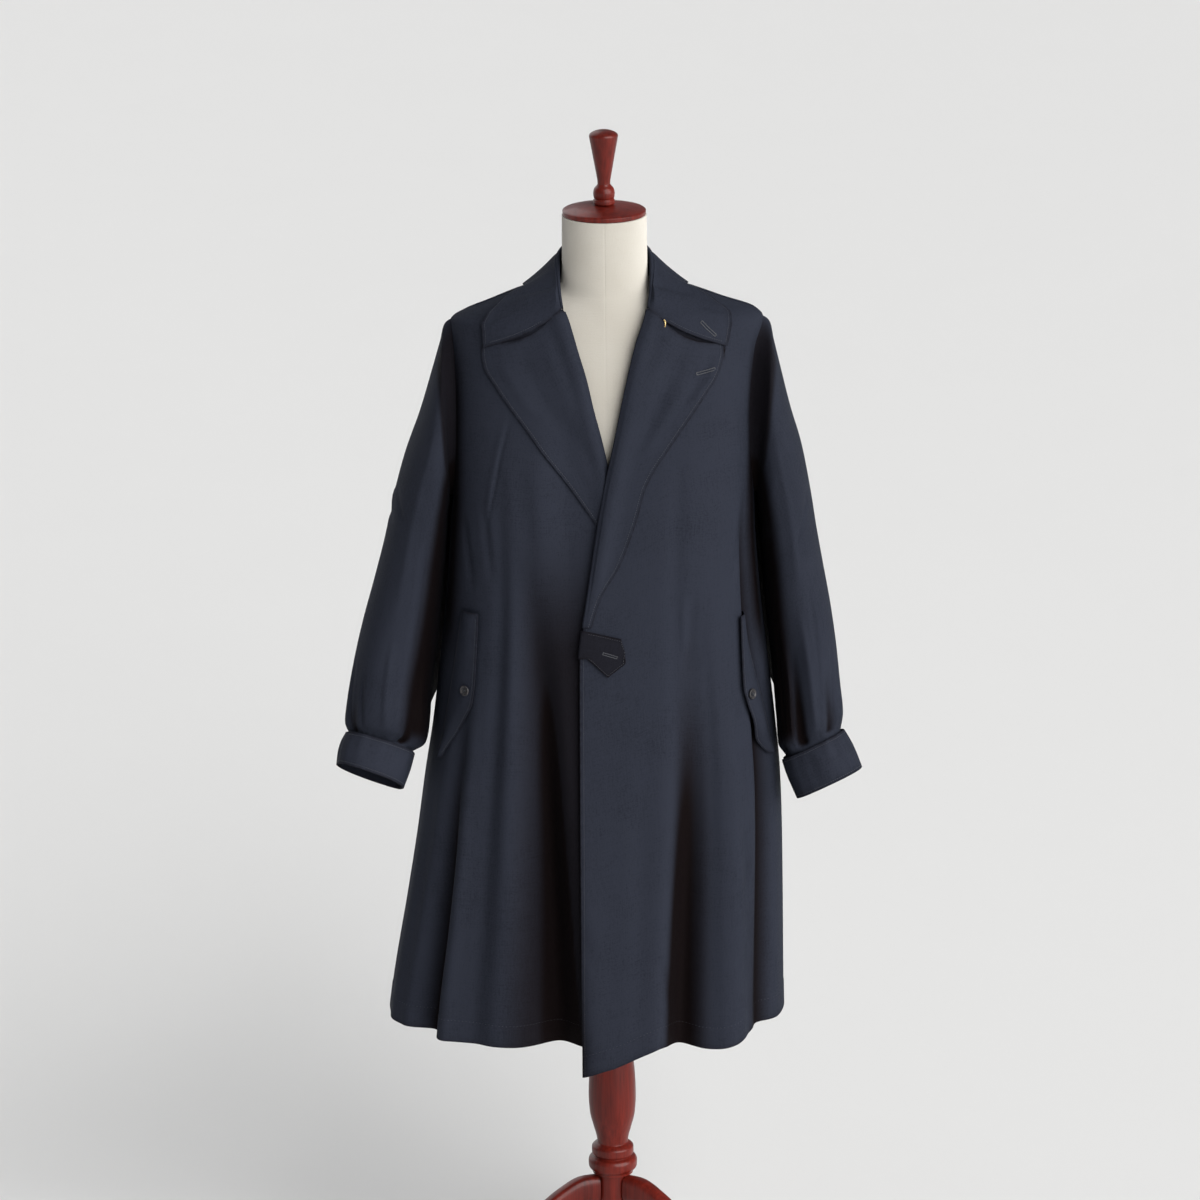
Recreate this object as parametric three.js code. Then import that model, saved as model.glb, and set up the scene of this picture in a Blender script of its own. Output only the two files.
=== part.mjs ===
// An overcoat worn by a limbless dress form on a turned tripod stand.
// Millimetres, +Z up. The coat faces -Y, and its wearer's left is +X.
import * as THREE from 'three';

// ---- Driving sizes ----
const CLOTH = 1.6;            // wall of the coat's cloth
const CUFF_CLOTH = 2.2;       // cuffs are two layers of cloth
const FLAP_CLOTH = 2.0;       // pocket flaps and the tab, two thin layers
const SEAM = 0.7;             // clearance where two pieces are sewn together
const LAY = 1.5;              // clearance below a piece that lies on a panel
const HEM_Z = 427;            // front hem above the floor
const HEM_BACK_Z = 431;       // side and back hem above the floor
const FRONT_CORNER_DROP = 43; // the left front's corner hangs below its hem
const ARMPIT_Z = 1190;
const SHOULDER_TIP_Z = 1438;
const NECK_POINT_Z = 1493;    // where the shoulder seam meets the collar
const NECK_BACK_Z = 1503;
const ARMHOLE_FRONT = 17;     // degrees that the armhole bites into the front
const ARMHOLE_BACK = 25;
const OVERLAP_RECESS = 8.5;   // the right front lies this far under the left
const COLLAR_LIFT = 6;      // outer face of the collar's edge above the panels
const COLLAR_ROLL = 2.3;      // radius of the collar's fold
const LAPEL_ROLL = 2.6;       // how far the lapel's roll stands off the front's edge
const BUTTON_RADIUS = 7.5;
const SLEEVE_REST = 4.5;      // clearance between a sleeve and the body it hangs against
const BUTTON_SEAT = 1.1;      // clearance below a button
const HUB_RADIUS = 24;
const LEG_COUNT = 3;
const BACK_LEG_ANGLE = 84;    // direction of the leg behind, from +X

const COLOURS = {
  cloth: 0x2b2f3a, lapel: 0x2d323d, button: 0x16171a, brass: 0xb08a3c,
  calico: 0xe2dfd6, wood: 0x4a1510,
};

// ---- Tables, a row for each section ----
// The coat's body: half widths on each side, front and back depth, and how square it is.
const BODY = [
  { z: 370, right: 324, left: 248, front: 190, back: 194, power: 2.2 },
  { z: 470, right: 311, left: 246, front: 183, back: 184, power: 2.25 },
  { z: 600, right: 288, left: 245, front: 175, back: 172, power: 2.3 },
  { z: 690, right: 273, left: 244, front: 169, back: 163, power: 2.35 },
  { z: 780, right: 260, left: 241, front: 163, back: 155, power: 2.4 },
  { z: 860, right: 247, left: 234, front: 158, back: 148, power: 2.45 },
  { z: 950, right: 236, left: 224, front: 153, back: 141, power: 2.5 },
  { z: 1050, right: 225, left: 213, front: 147, back: 136, power: 2.6 },
  { z: 1150, right: 217, left: 206, front: 138, back: 132, power: 2.8 },
  { z: 1190, right: 214, left: 205, front: 134, back: 131, power: 2.9 },
  { z: 1250, right: 213, left: 204, front: 127, back: 131, power: 2.9 },
  { z: 1300, right: 213, left: 204, front: 120, back: 131, power: 2.8 },
  { z: 1350, right: 213, left: 206, front: 113, back: 128, power: 2.6 },
  { z: 1400, right: 213, left: 210, front: 102, back: 117, power: 2.2 },
  { z: 1438, right: 213, left: 218, front: 88, back: 99, power: 1.9 },
  { z: 1450, right: 196, left: 208, front: 83, back: 93, power: 1.8 },
  { z: 1462, right: 166, left: 173, front: 78, back: 87, power: 1.75 },
  { z: 1476, right: 131, left: 134, front: 73, back: 81, power: 1.75 },
  { z: 1493, right: 78, left: 78, front: 68, back: 76, power: 1.9 },
  { z: 1506, right: 68, left: 68, front: 65, back: 74, power: 2.0 },
  { z: 1545, right: 62, left: 62, front: 62, back: 72, power: 2.0 },
];

// Folds of the body, by angle from the centre front, + towards the wearer's left.
// A fold starts at its top and has its depth, + outwards, from the height full down.
const FOLDS = [
  { top: 1200, full: 560, topAngle: -24, hemAngle: -13, topWidth: 5, hemWidth: 8, depth: -34 },
  { top: 1200, full: 900, topAngle: -11, hemAngle: -7.5, topWidth: 3, hemWidth: 4, depth: 6 },
  { top: 1060, full: 620, topAngle: -46, hemAngle: -47, topWidth: 5, hemWidth: 5, depth: 9 },
  { top: 980, full: 520, topAngle: -53, hemAngle: -55, topWidth: 5, hemWidth: 6, depth: -25 },
  { top: 900, full: 480, topAngle: -76, hemAngle: -72, topWidth: 6, hemWidth: 8, depth: 8 },
  { top: 1130, full: 560, topAngle: 27, hemAngle: 24, topWidth: 6, hemWidth: 8, depth: -24 },
  { top: 1060, full: 600, topAngle: 42, hemAngle: 42, topWidth: 5, hemWidth: 6, depth: 8 },
  { top: 1290, full: 1040, topAngle: 67, hemAngle: 60, topWidth: 7, hemWidth: 7.5, depth: -17 },
  { top: 1080, full: 560, topAngle: 112, hemAngle: 110, topWidth: 7, hemWidth: 9, depth: -22 },
  { top: 1000, full: 560, topAngle: 128, hemAngle: 128, topWidth: 6, hemWidth: 8, depth: 10 },
  { top: 1200, full: 560, topAngle: 148, hemAngle: 145, topWidth: 6, hemWidth: 9, depth: -25 },
  { top: 1000, full: 560, topAngle: 170, hemAngle: 166, topWidth: 7, hemWidth: 9, depth: 8 },
  { top: 1060, full: 480, topAngle: 186, hemAngle: 188, topWidth: 5, hemWidth: 7, depth: -15 },
  { top: 1220, full: 600, topAngle: 213, hemAngle: 216, topWidth: 7, hemWidth: 10, depth: -28 },
  { top: 1000, full: 560, topAngle: 232, hemAngle: 235, topWidth: 6, hemWidth: 8, depth: 9 },
  { top: 1040, full: 560, topAngle: 247, hemAngle: 252, topWidth: 6, hemWidth: 8, depth: -20 },
];

// Free edges of the fronts: the front edge below and the roll line above.
const LEFT_EDGE = [
  { z: 370, x: -42.6 }, { z: 647, x: -41.2 }, { z: 933, x: -39.7 }, { z: 990, x: -39.1 },
  { z: 1019, x: -36.1 }, { z: 1075, x: -27.3 }, { z: 1131, x: -18.5 }, { z: 1186, x: -9.7 },
  { z: 1240, x: 0.6 }, { z: 1268, x: 7 }, { z: 1296, x: 13.2 }, { z: 1350, x: 24.6 },
  { z: 1403, x: 37.4 }, { z: 1428, x: 44.8 }, { z: 1453, x: 54.3 }, { z: 1472, x: 60 },
];
const RIGHT_EDGE = [
  { z: 370, x: 40 }, { z: 990, x: 38 }, { z: 1019, x: 35 }, { z: 1075, x: 28 },
  { z: 1131, x: 20 }, { z: 1186, x: 12 }, { z: 1240, x: 2.5 }, { z: 1268, x: -2.4 },
  { z: 1296, x: -8.7 }, { z: 1337, x: -19.2 }, { z: 1377, x: -28.4 }, { z: 1416, x: -40.3 },
  { z: 1442, x: -48.2 }, { z: 1454, x: -52.2 }, { z: 1466, x: -57.5 },
];

// Lapels: from the roll line, at height rollZ, out to the free edge.
const LEFT_LAPEL = [
  { rollZ: 1466, edgeX: 160, edgeZ: 1417 }, { rollZ: 1452, edgeX: 160.5, edgeZ: 1404 },
  { rollZ: 1428, edgeX: 154, edgeZ: 1379 }, { rollZ: 1396, edgeX: 136, edgeZ: 1352 },
  { rollZ: 1362, edgeX: 115, edgeZ: 1323 }, { rollZ: 1326, edgeX: 97, edgeZ: 1298 },
  { rollZ: 1292, edgeX: 80, edgeZ: 1274 }, { rollZ: 1262, edgeX: 65.5, edgeZ: 1253 },
  { rollZ: 1228, edgeX: 52, edgeZ: 1226 }, { rollZ: 1190, edgeX: 42.4, edgeZ: 1192 },
  { rollZ: 1156, edgeX: 31.1, edgeZ: 1158 }, { rollZ: 1121, edgeX: 17.1, edgeZ: 1123 },
  { rollZ: 1074, edgeX: -10.8, edgeZ: 1075 }, { rollZ: 1046, edgeX: -20, edgeZ: 1046 },
  { rollZ: 1036, edgeX: -23, edgeZ: 1036 },
];
const RIGHT_LAPEL = [
  { rollZ: 1464, edgeX: -166.5, edgeZ: 1421 }, { rollZ: 1448, edgeX: -168.5, edgeZ: 1408 },
  { rollZ: 1417, edgeX: -165.5, edgeZ: 1388 }, { rollZ: 1385, edgeX: -151.6, edgeZ: 1366 },
  { rollZ: 1350, edgeX: -131.3, edgeZ: 1338 }, { rollZ: 1314, edgeX: -108, edgeZ: 1307 },
  { rollZ: 1278, edgeX: -85.5, edgeZ: 1275 }, { rollZ: 1242, edgeX: -60, edgeZ: 1242 },
  { rollZ: 1206, edgeX: -35.5, edgeZ: 1208 }, { rollZ: 1168, edgeX: -14, edgeZ: 1175 },
  { rollZ: 1130, edgeX: 2, edgeZ: 1138 }, { rollZ: 1092, edgeX: 14, edgeZ: 1096 },
  { rollZ: 1052, edgeX: 23, edgeZ: 1054 },
];

// The collar, from its point round the back: its fold, and its outer edge on the coat.
const COLLAR = [
  { foldX: 58.5, foldY: -69, foldZ: 1468.5, edgeAngle: 49.8, edgeZ: 1412 },
  { foldX: 61.5, foldY: -52, foldZ: 1484, edgeAngle: 52.5, edgeZ: 1438 },
  { foldX: 63.5, foldY: -28, foldZ: 1504, edgeAngle: 66, edgeZ: 1464 },
  { foldX: 64, foldY: -2, foldZ: 1521, edgeAngle: 90, edgeZ: 1482 },
  { foldX: 54, foldY: 36, foldZ: 1533, edgeAngle: 121, edgeZ: 1477 },
  { foldX: 29, foldY: 63, foldZ: 1538, edgeAngle: 150, edgeZ: 1470 },
  { foldX: 0, foldY: 72, foldZ: 1540, edgeAngle: 180, edgeZ: 1466 },
];
const COLLAR_BOW = 11.5;      // sag of the collar's front edge between roll and point

// Sleeves, shoulder to cuff: outer and inner edge, middle and half of the depth, and
// how far the section leans forward, in degrees.
const RIGHT_SLEEVE = [
  { outX: 229, outZ: 1402, inX: 217.5, inZ: 1181, midY: 8, halfY: 80, lean: 0 },
  { outX: 239, outZ: 1368, inX: 219.5, inZ: 1170, midY: 8, halfY: 85, lean: 0 },
  { outX: 258, outZ: 1305, inX: 221.5, inZ: 1147, midY: 8, halfY: 89, lean: 0 },
  { outX: 280.5, outZ: 1243, inX: 223.5, inZ: 1114, midY: 8, halfY: 89, lean: 0 },
  { outX: 296.5, outZ: 1186, inX: 227.5, inZ: 1074, midY: 6, halfY: 87, lean: 2 },
  { outX: 311, outZ: 1122, inX: 231.5, inZ: 1034, midY: 3, halfY: 86, lean: 4 },
  { outX: 327, outZ: 1063, inX: 237, inZ: 989, midY: -2, halfY: 85, lean: 6 },
  { outX: 343, outZ: 1007, inX: 243, inZ: 944, midY: -8, halfY: 84, lean: 9 },
  { outX: 356, outZ: 953, inX: 249, inZ: 904, midY: -18, halfY: 82, lean: 13 },
  { outX: 366, outZ: 900, inX: 251, inZ: 869, midY: -32, halfY: 76, lean: 18 },
  { outX: 369.5, outZ: 871, inX: 257, inZ: 839, midY: -46, halfY: 62, lean: 23 },
  { outX: 361, outZ: 851, inX: 280.5, inZ: 827, midY: -57, halfY: 38, lean: 26 },
];
const LEFT_SLEEVE = [
  { outX: 233, outZ: 1402, inX: 209.5, inZ: 1181, midY: 8, halfY: 80, lean: 0 },
  { outX: 241, outZ: 1368, inX: 211.5, inZ: 1170, midY: 8, halfY: 85, lean: 0 },
  { outX: 256, outZ: 1306, inX: 213.5, inZ: 1147, midY: 8, halfY: 89, lean: 0 },
  { outX: 271.5, outZ: 1252, inX: 215.5, inZ: 1114, midY: 8, halfY: 89, lean: 0 },
  { outX: 283.5, outZ: 1190, inX: 218.5, inZ: 1074, midY: 7, halfY: 87, lean: 1 },
  { outX: 292, outZ: 1135, inX: 221, inZ: 1034, midY: 5, halfY: 86, lean: 2 },
  { outX: 302, outZ: 1078, inX: 224, inZ: 989, midY: 3, halfY: 84, lean: 4 },
  { outX: 312, outZ: 1022, inX: 228, inZ: 944, midY: -4, halfY: 82, lean: 6 },
  { outX: 319, outZ: 971, inX: 231, inZ: 905, midY: -18, halfY: 80, lean: 8 },
  { outX: 324, outZ: 920, inX: 233.5, inZ: 868, midY: -32, halfY: 71, lean: 10 },
  { outX: 328, outZ: 878, inX: 236, inZ: 834, midY: -42, halfY: 59, lean: 12 },
  { outX: 324.5, outZ: 852, inX: 249.5, inZ: 812, midY: -46, halfY: 40, lean: 14 },
];
const RIGHT_CUFF = [
  { outX: 368, outZ: 857, inX: 272.5, inZ: 826, midY: -57, halfY: 47, lean: 26 },
  { outX: 375, outZ: 837, inX: 280, inZ: 805, midY: -68, halfY: 47, lean: 27 },
  { outX: 381, outZ: 818, inX: 288, inZ: 783, midY: -79, halfY: 46, lean: 27 },
];
const LEFT_CUFF = [
  { outX: 329, outZ: 852, inX: 244.5, inZ: 810, midY: -46, halfY: 45, lean: 14 },
  { outX: 341.5, outZ: 826, inX: 254, inZ: 784, midY: -53, halfY: 45, lean: 14 },
  { outX: 354, outZ: 801, inX: 264, inZ: 757, midY: -60, halfY: 44, lean: 14 },
];

// Pleats and creases of the sleeves, by angle round the arm from its outer edge
// towards the front, and by the share of the sleeve's length where they start.
const RIGHT_PLEATS = [
  { angle: 38, from: 0.62, width: 15, depth: 7 },
  { angle: 128, from: 0.5, width: 15, depth: 11 },
  { angle: 212, from: 0.66, width: 15, depth: 8 },
  { angle: 262, from: 0.55, width: 16, depth: 9 },
  { angle: 318, from: 0.68, width: 15, depth: 7 },
];
const LEFT_PLEATS = [
  { angle: 55, from: 0.6, width: 14, depth: 8 },
  { angle: 108, from: 0.42, width: 15, depth: 12 },
  { angle: 160, from: 0.7, width: 14, depth: 6 },
  { angle: 225, from: 0.6, width: 16, depth: 9 },
  { angle: 290, from: 0.58, width: 16, depth: 8 },
];

// Pocket flaps: the sewn edge and the free edge, by angle round the body.
const RIGHT_FLAP = [
  { sewn: -59.2, free: -46.8, z: 1046 }, { sewn: -61, free: -46.6, z: 1000 },
  { sewn: -63, free: -46.3, z: 945 }, { sewn: -64.2, free: -46.8, z: 919 },
  { sewn: -66, free: -54.4, z: 875 }, { sewn: -68, free: -63.6, z: 829 },
];
const LEFT_FLAP = [
  { sewn: 65, free: 52.8, z: 1036 }, { sewn: 66.5, free: 51.6, z: 990 },
  { sewn: 68.5, free: 50.6, z: 938 }, { sewn: 69.5, free: 52, z: 913 },
  { sewn: 71, free: 59, z: 866 }, { sewn: 73, free: 68.5, z: 826 },
];

// The front tab: top and bottom edge across its width; its left end wraps the front's edge.
const TAB = [
  { x: -30, top: 1030.5, bottom: 993 }, { x: -20, top: 1028.6, bottom: 984.5 },
  { x: -10, top: 1026.2, bottom: 974.5 }, { x: -1, top: 1024, bottom: 966 },
  { x: 8, top: 1021.8, bottom: 973 }, { x: 17.6, top: 1019.6, bottom: 980.6 },
  { x: 23, top: 1000, bottom: 985 },
];

// The dress form: half width, front and back depth, and how square it is.
const FORM = [
  { z: 757, half: 146, front: 98, back: 104, power: 2.2 },
  { z: 764, half: 152, front: 103, back: 110, power: 2.2 },
  { z: 820, half: 165, front: 110, back: 124, power: 2.3 },
  { z: 900, half: 171, front: 109, back: 127, power: 2.3 },
  { z: 1000, half: 160, front: 100, back: 114, power: 2.3 },
  { z: 1080, half: 153, front: 97, back: 102, power: 2.3 },
  { z: 1180, half: 168, front: 107, back: 108, power: 2.4 },
  { z: 1270, half: 184, front: 109, back: 117, power: 2.4 },
  { z: 1340, half: 191, front: 103, back: 117, power: 2.3 },
  { z: 1395, half: 194, front: 91, back: 104, power: 2.0 },
  { z: 1425, half: 194, front: 80, back: 90, power: 1.75 },
  { z: 1443, half: 178, front: 74, back: 82, power: 1.65 },
  { z: 1458, half: 134, front: 69.5, back: 76, power: 1.6 },
  { z: 1472, half: 86, front: 65.5, back: 70, power: 1.65 },
  { z: 1484, half: 66, front: 61.5, back: 66, power: 1.8 },
  { z: 1493, half: 61, front: 60.3, back: 63, power: 1.95 },
  { z: 1503, half: 60, front: 59.3, back: 60.5, power: 2 },
  { z: 1520, half: 59, front: 58.8, back: 59, power: 2 },
  { z: 1583.5, half: 58.5, front: 58.5, back: 58.5, power: 2 },
];

// Turned wood, a row for each change of the profile, bottom to top.
const COLUMN = [
  { z: 112, r: 0 }, { z: 112, r: 19 }, { z: 118, r: HUB_RADIUS }, { z: 168, r: HUB_RADIUS },
  { z: 169, r: 29 }, { z: 172.5, r: 29.4 }, { z: 174, r: 31 }, { z: 179, r: 34.6 },
  { z: 187, r: 35 }, { z: 193, r: 32.4 }, { z: 195.5, r: 27.5 }, { z: 200, r: 30 },
  { z: 208, r: 30 }, { z: 213, r: 26 }, { z: 216, r: 22 }, { z: 224, r: 23 },
  { z: 240, r: 27.2 }, { z: 262, r: 32.4 }, { z: 288, r: 34 }, { z: 318, r: 33 },
  { z: 360, r: 29 }, { z: 420, r: 22 }, { z: 480, r: 17 }, { z: 500, r: 16.5 },
  { z: 504, r: 20 }, { z: 512, r: 20 }, { z: 516, r: 14 }, { z: 756, r: 14 }, { z: 756, r: 0 },
];
const CAP = [
  { z: 1584, r: 0 }, { z: 1584, r: 56.2 }, { z: 1585, r: 57.4 }, { z: 1589.5, r: 57.4 },
  { z: 1591, r: 56 }, { z: 1593, r: 49 }, { z: 1595.6, r: 36 }, { z: 1597, r: 22 },
  { z: 1597.4, r: 0 },
];
const FINIAL = [
  { z: 1597.8, r: 0 }, { z: 1597.8, r: 13 }, { z: 1600, r: 14.7 }, { z: 1604, r: 14.7 },
  { z: 1606, r: 13.4 }, { z: 1608, r: 14.2 }, { z: 1614, r: 14.9 }, { z: 1620, r: 13.6 },
  { z: 1624.5, r: 10 }, { z: 1627, r: 8.8 }, { z: 1631, r: 9 }, { z: 1660, r: 14 },
  { z: 1690, r: 19.4 }, { z: 1693.5, r: 19.9 }, { z: 1696, r: 19.3 }, { z: 1699.5, r: 14 },
  { z: 1701.5, r: 7 }, { z: 1702, r: 0 },
];
// A leg, hub to foot: distance from the axis, height, and its half height and half width.
const LEG = [
  { reach: 24.8, z: 147, tall: 20, wide: 12 }, { reach: 46, z: 148, tall: 19.5, wide: 12.5 },
  { reach: 78, z: 137, tall: 17.5, wide: 12 }, { reach: 114, z: 115, tall: 15, wide: 11.5 },
  { reach: 150, z: 85, tall: 13.5, wide: 11 }, { reach: 186, z: 53, tall: 12, wide: 11 },
  { reach: 216, z: 30, tall: 11.5, wide: 11.5 }, { reach: 240, z: 16, tall: 12, wide: 12.5 },
];
const LEG_FOOT = { reach: 250, half: 15 };

// ---- Small helpers ----
const radians = THREE.MathUtils.degToRad;
const clamp01 = (t) => Math.min(1, Math.max(0, t));
const mix = (a, b, t) => a + (b - a) * t;
const smooth = (t) => clamp01(t) ** 2 * (3 - 2 * clamp01(t));
const bump = (t) => (Math.abs(t) < 2 ? Math.cos((Math.PI / 4) * t) ** 4 : 0);
const range = (n) => Array.from({ length: n }, (_, i) => i);

// A smooth value of one column of a table, with no overshoot between its rows.
function along(rows, key, at, column) {
  const last = rows.length - 1;
  const descending = rows[0][key] > rows[last][key];
  const t = descending ? -at : at;
  const knot = (i) => (descending ? -rows[i][key] : rows[i][key]);
  let i = 0;
  while (i < last - 1 && t > knot(i + 1)) i += 1;
  const rise = (k) => (rows[k + 1][column] - rows[k][column]) / (knot(k + 1) - knot(k));
  const slope = (k) => {
    if (k === 0) return rise(0);
    if (k === last) return rise(last - 1);
    const before = rise(k - 1);
    const after = rise(k);
    return before * after <= 0 ? 0 : (2 * before * after) / (before + after);
  };
  const h = knot(i + 1) - knot(i);
  const u = clamp01((t - knot(i)) / h);
  const start = (2 * u ** 3 - 3 * u * u + 1) * rows[i][column];
  const end = (3 * u * u - 2 * u ** 3) * rows[i + 1][column];
  return start + end + (u ** 3 - 2 * u * u + u) * h * slope(i) + (u ** 3 - u * u) * h * slope(i + 1);
}

// The same by row number, for tables whose rows stand in order along a piece.
const numbered = (rows) => rows.map((row, index) => ({ ...row, index }));
const rowAt = (rows, share) => {
  const list = numbered(rows);
  const at = share * (rows.length - 1);
  const out = {};
  for (const column of Object.keys(rows[0])) out[column] = along(list, 'index', at, column);
  return out;
};

// ---- The coat's body as a surface of angle and height ----
function bodySection(z) {
  const at = (column) => along(BODY, 'z', z, column);
  return { right: at('right'), left: at('left'), front: at('front'), back: at('back'), power: at('power') };
}

function bodyBase(angle, z) {
  const s = bodySection(z);
  const sine = Math.sin(radians(angle));
  const cosine = Math.cos(radians(angle));
  const x = (sine < 0 ? -s.right : s.left) * Math.abs(sine) ** (2 / s.power);
  const y = (cosine > 0 ? -s.front : s.back) * Math.abs(cosine) ** (2 / s.power);
  return new THREE.Vector3(Math.abs(x) < 1e-6 ? 0 : x, Math.abs(y) < 1e-6 ? 0 : y, z);
}

function bodyLevel(x, y, z) {
  const s = bodySection(z);
  const wide = Math.abs(x) / (x < 0 ? s.right : s.left);
  const deep = Math.abs(y) / (y < 0 ? s.front : s.back);
  return wide ** s.power + deep ** s.power;
}

function bodyNormal(p) {
  const step = 0.5;
  const slope = (dx, dy, dz) => (bodyLevel(p.x + dx, p.y + dy, p.z + dz)
    - bodyLevel(p.x - dx, p.y - dy, p.z - dz)) / (2 * step);
  const across = Math.abs(p.x) < step ? 0 : slope(step, 0, 0);
  const deep = Math.abs(p.y) < step ? 0 : slope(0, step, 0);
  return new THREE.Vector3(across, deep, slope(0, 0, step)).normalize();
}

function foldDepth(angle, z) {
  const turn = angle < -91 ? angle + 360 : angle;
  let sum = 0;
  for (const fold of FOLDS) {
    const down = clamp01((fold.top - z) / (fold.top - HEM_Z));
    const centre = mix(fold.topAngle, fold.hemAngle, down);
    const width = mix(fold.topWidth, fold.hemWidth, down);
    const grown = smooth((fold.top - z) / (fold.top - fold.full));
    sum += fold.depth * grown * bump((turn - centre) / width);
  }
  return sum;
}

// A point on the coat's outer face, moved out by a distance.
function onCoat(angle, z, out = 0) {
  const p = bodyBase(angle, z);
  return p.addScaledVector(bodyNormal(p), foldDepth(angle, z) + out);
}

// The angle of a point on the front from its distance to the side.
function angleAt(x, z) {
  const s = bodySection(z);
  const share = clamp01(Math.abs(x) / (x < 0 ? s.right : s.left));
  return THREE.MathUtils.radToDeg(Math.asin(share ** (s.power / 2))) * Math.sign(x);
}

// The angle and the direction of any point round the body at its own height.
function angleOf(p) {
  const s = bodySection(p.z);
  const wide = (Math.abs(p.x) / (p.x < 0 ? s.right : s.left)) ** (s.power / 2);
  const deep = (Math.abs(p.y) / (p.y < 0 ? s.front : s.back)) ** (s.power / 2);
  return THREE.MathUtils.radToDeg(Math.atan2(wide * Math.sign(p.x), deep * -Math.sign(p.y)));
}

// A point kept where it is, or lifted to stand clear of the coat.
function liftedOff(p, out) {
  if (bodyLevel(p.x, p.y, p.z) > 1.6) return p;
  const surface = onCoat(angleOf(p), p.z, out);
  const away = Math.hypot(p.x, p.y) - Math.hypot(surface.x, surface.y);
  return p.lerp(surface, smooth(1 - away / 8));
}

// ---- Walls ----
function gridNormals(grid, loop) {
  const rows = grid.length;
  const columns = grid[0].length;
  return grid.map((row, i) => row.map((_, j) => {
    const up = grid[Math.min(rows - 1, i + 1)][j].clone().sub(grid[Math.max(0, i - 1)][j]);
    const next = loop ? (j + 1) % columns : Math.min(columns - 1, j + 1);
    const before = loop ? (j + columns - 1) % columns : Math.max(0, j - 1);
    return row[next].clone().sub(row[before]).cross(up).normalize();
  }));
}

function solidFrom(points, faces) {
  const positions = points.flatMap((p) => [p.x, p.y, p.z]);
  const volume = faces.reduce((sum, [a, b, c]) => sum
    + points[a].dot(points[b].clone().cross(points[c])), 0);
  const index = faces.flatMap(([a, b, c]) => (volume < 0 ? [a, c, b] : [a, b, c]));
  const geometry = new THREE.BufferGeometry();
  geometry.setAttribute('position', new THREE.Float32BufferAttribute(positions, 3));
  geometry.setIndex(index);
  geometry.computeVertexNormals();
  return geometry;
}

// A closed wall between an outer grid of points and the same grid moved inwards.
function wallBetween(outer, inner, loop) {
  const rows = outer.length;
  const columns = outer[0].length;
  const points = [...outer.flat(), ...inner.flat()];
  const at = (layer, i, j) => layer * rows * columns + i * columns + (loop ? j % columns : j);
  const faces = [];
  const quad = (a, b, c, d) => faces.push([a, b, c], [a, c, d]);
  const spans = loop ? columns : columns - 1;
  for (let i = 0; i < rows - 1; i += 1) {
    for (let j = 0; j < spans; j += 1) {
      quad(at(0, i, j), at(0, i, j + 1), at(0, i + 1, j + 1), at(0, i + 1, j));
      quad(at(1, i, j), at(1, i + 1, j), at(1, i + 1, j + 1), at(1, i, j + 1));
    }
  }
  for (let j = 0; j < spans; j += 1) {
    quad(at(0, 0, j), at(1, 0, j), at(1, 0, j + 1), at(0, 0, j + 1));
    quad(at(0, rows - 1, j), at(0, rows - 1, j + 1), at(1, rows - 1, j + 1), at(1, rows - 1, j));
  }
  if (!loop) {
    for (let i = 0; i < rows - 1; i += 1) {
      quad(at(0, i, 0), at(0, i + 1, 0), at(1, i + 1, 0), at(1, i, 0));
      const j = columns - 1;
      quad(at(0, i, j), at(1, i, j), at(1, i + 1, j), at(0, i + 1, j));
    }
  }
  return solidFrom(points, faces);
}

// A cloth wall: turned says which way the grid's normals point, and flat(i, j) is
// true where the wall's end face lies in the plane of a seam at Y = 0.
function clothWall(grid, thickness, { loop = false, turned = 1, flat = () => false } = {}) {
  const normals = gridNormals(grid, loop);
  const inner = grid.map((row, i) => row.map((p, j) => {
    const n = normals[i][j];
    if (flat(i, j)) n.setY(0).normalize();
    return p.clone().addScaledVector(n, -thickness * turned);
  }));
  return wallBetween(grid, inner, loop);
}

const pieces = new THREE.Group();
function addPiece(name, geometry, color, roughness = 0.85, metalness = 0) {
  const material = new THREE.MeshStandardMaterial({ color, roughness, metalness });
  const mesh = new THREE.Mesh(geometry, material);
  mesh.name = name;
  pieces.add(mesh);
}

// ---- Back and fronts ----
const ARMHOLE_STEPS = 9;
const ARMHOLE_MIDDLE = (ARMPIT_Z + SHOULDER_TIP_Z) / 2;
const ARMHOLE_HALF = (SHOULDER_TIP_Z - ARMPIT_Z) / 2;
const SKIRT_STEPS = 10;
const YOKE_STEPS = 3;
const FRONT_COLUMNS = 16;
const BACK_COLUMNS = 26;

// Heights of the rows along a side seam, as shares of the way from hem to neck point.
const ROW_SHARES = [
  ...range(SKIRT_STEPS).map((k) => mix(HEM_BACK_Z, ARMPIT_Z, k / SKIRT_STEPS)),
  ...range(ARMHOLE_STEPS + 1).map((k) => ARMHOLE_MIDDLE
    - ARMHOLE_HALF * Math.cos((Math.PI * k) / ARMHOLE_STEPS)),
  ...range(YOKE_STEPS).map((k) => mix(SHOULDER_TIP_Z, NECK_POINT_Z, (k + 1) / YOKE_STEPS)),
].map((z) => (z - HEM_BACK_Z) / (NECK_POINT_Z - HEM_BACK_Z));

// How deep the armhole bites at a height, from 0 at its ends to 1 half way.
function armholeBite(z) {
  const level = clamp01(Math.abs(z - ARMHOLE_MIDDLE) / ARMHOLE_HALF);
  return Math.sqrt(1 - level * level);
}

function sideSeamShift(p, isFront) {
  return p.setY(p.y + (isFront ? -SEAM / 2 : SEAM / 2));
}

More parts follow.
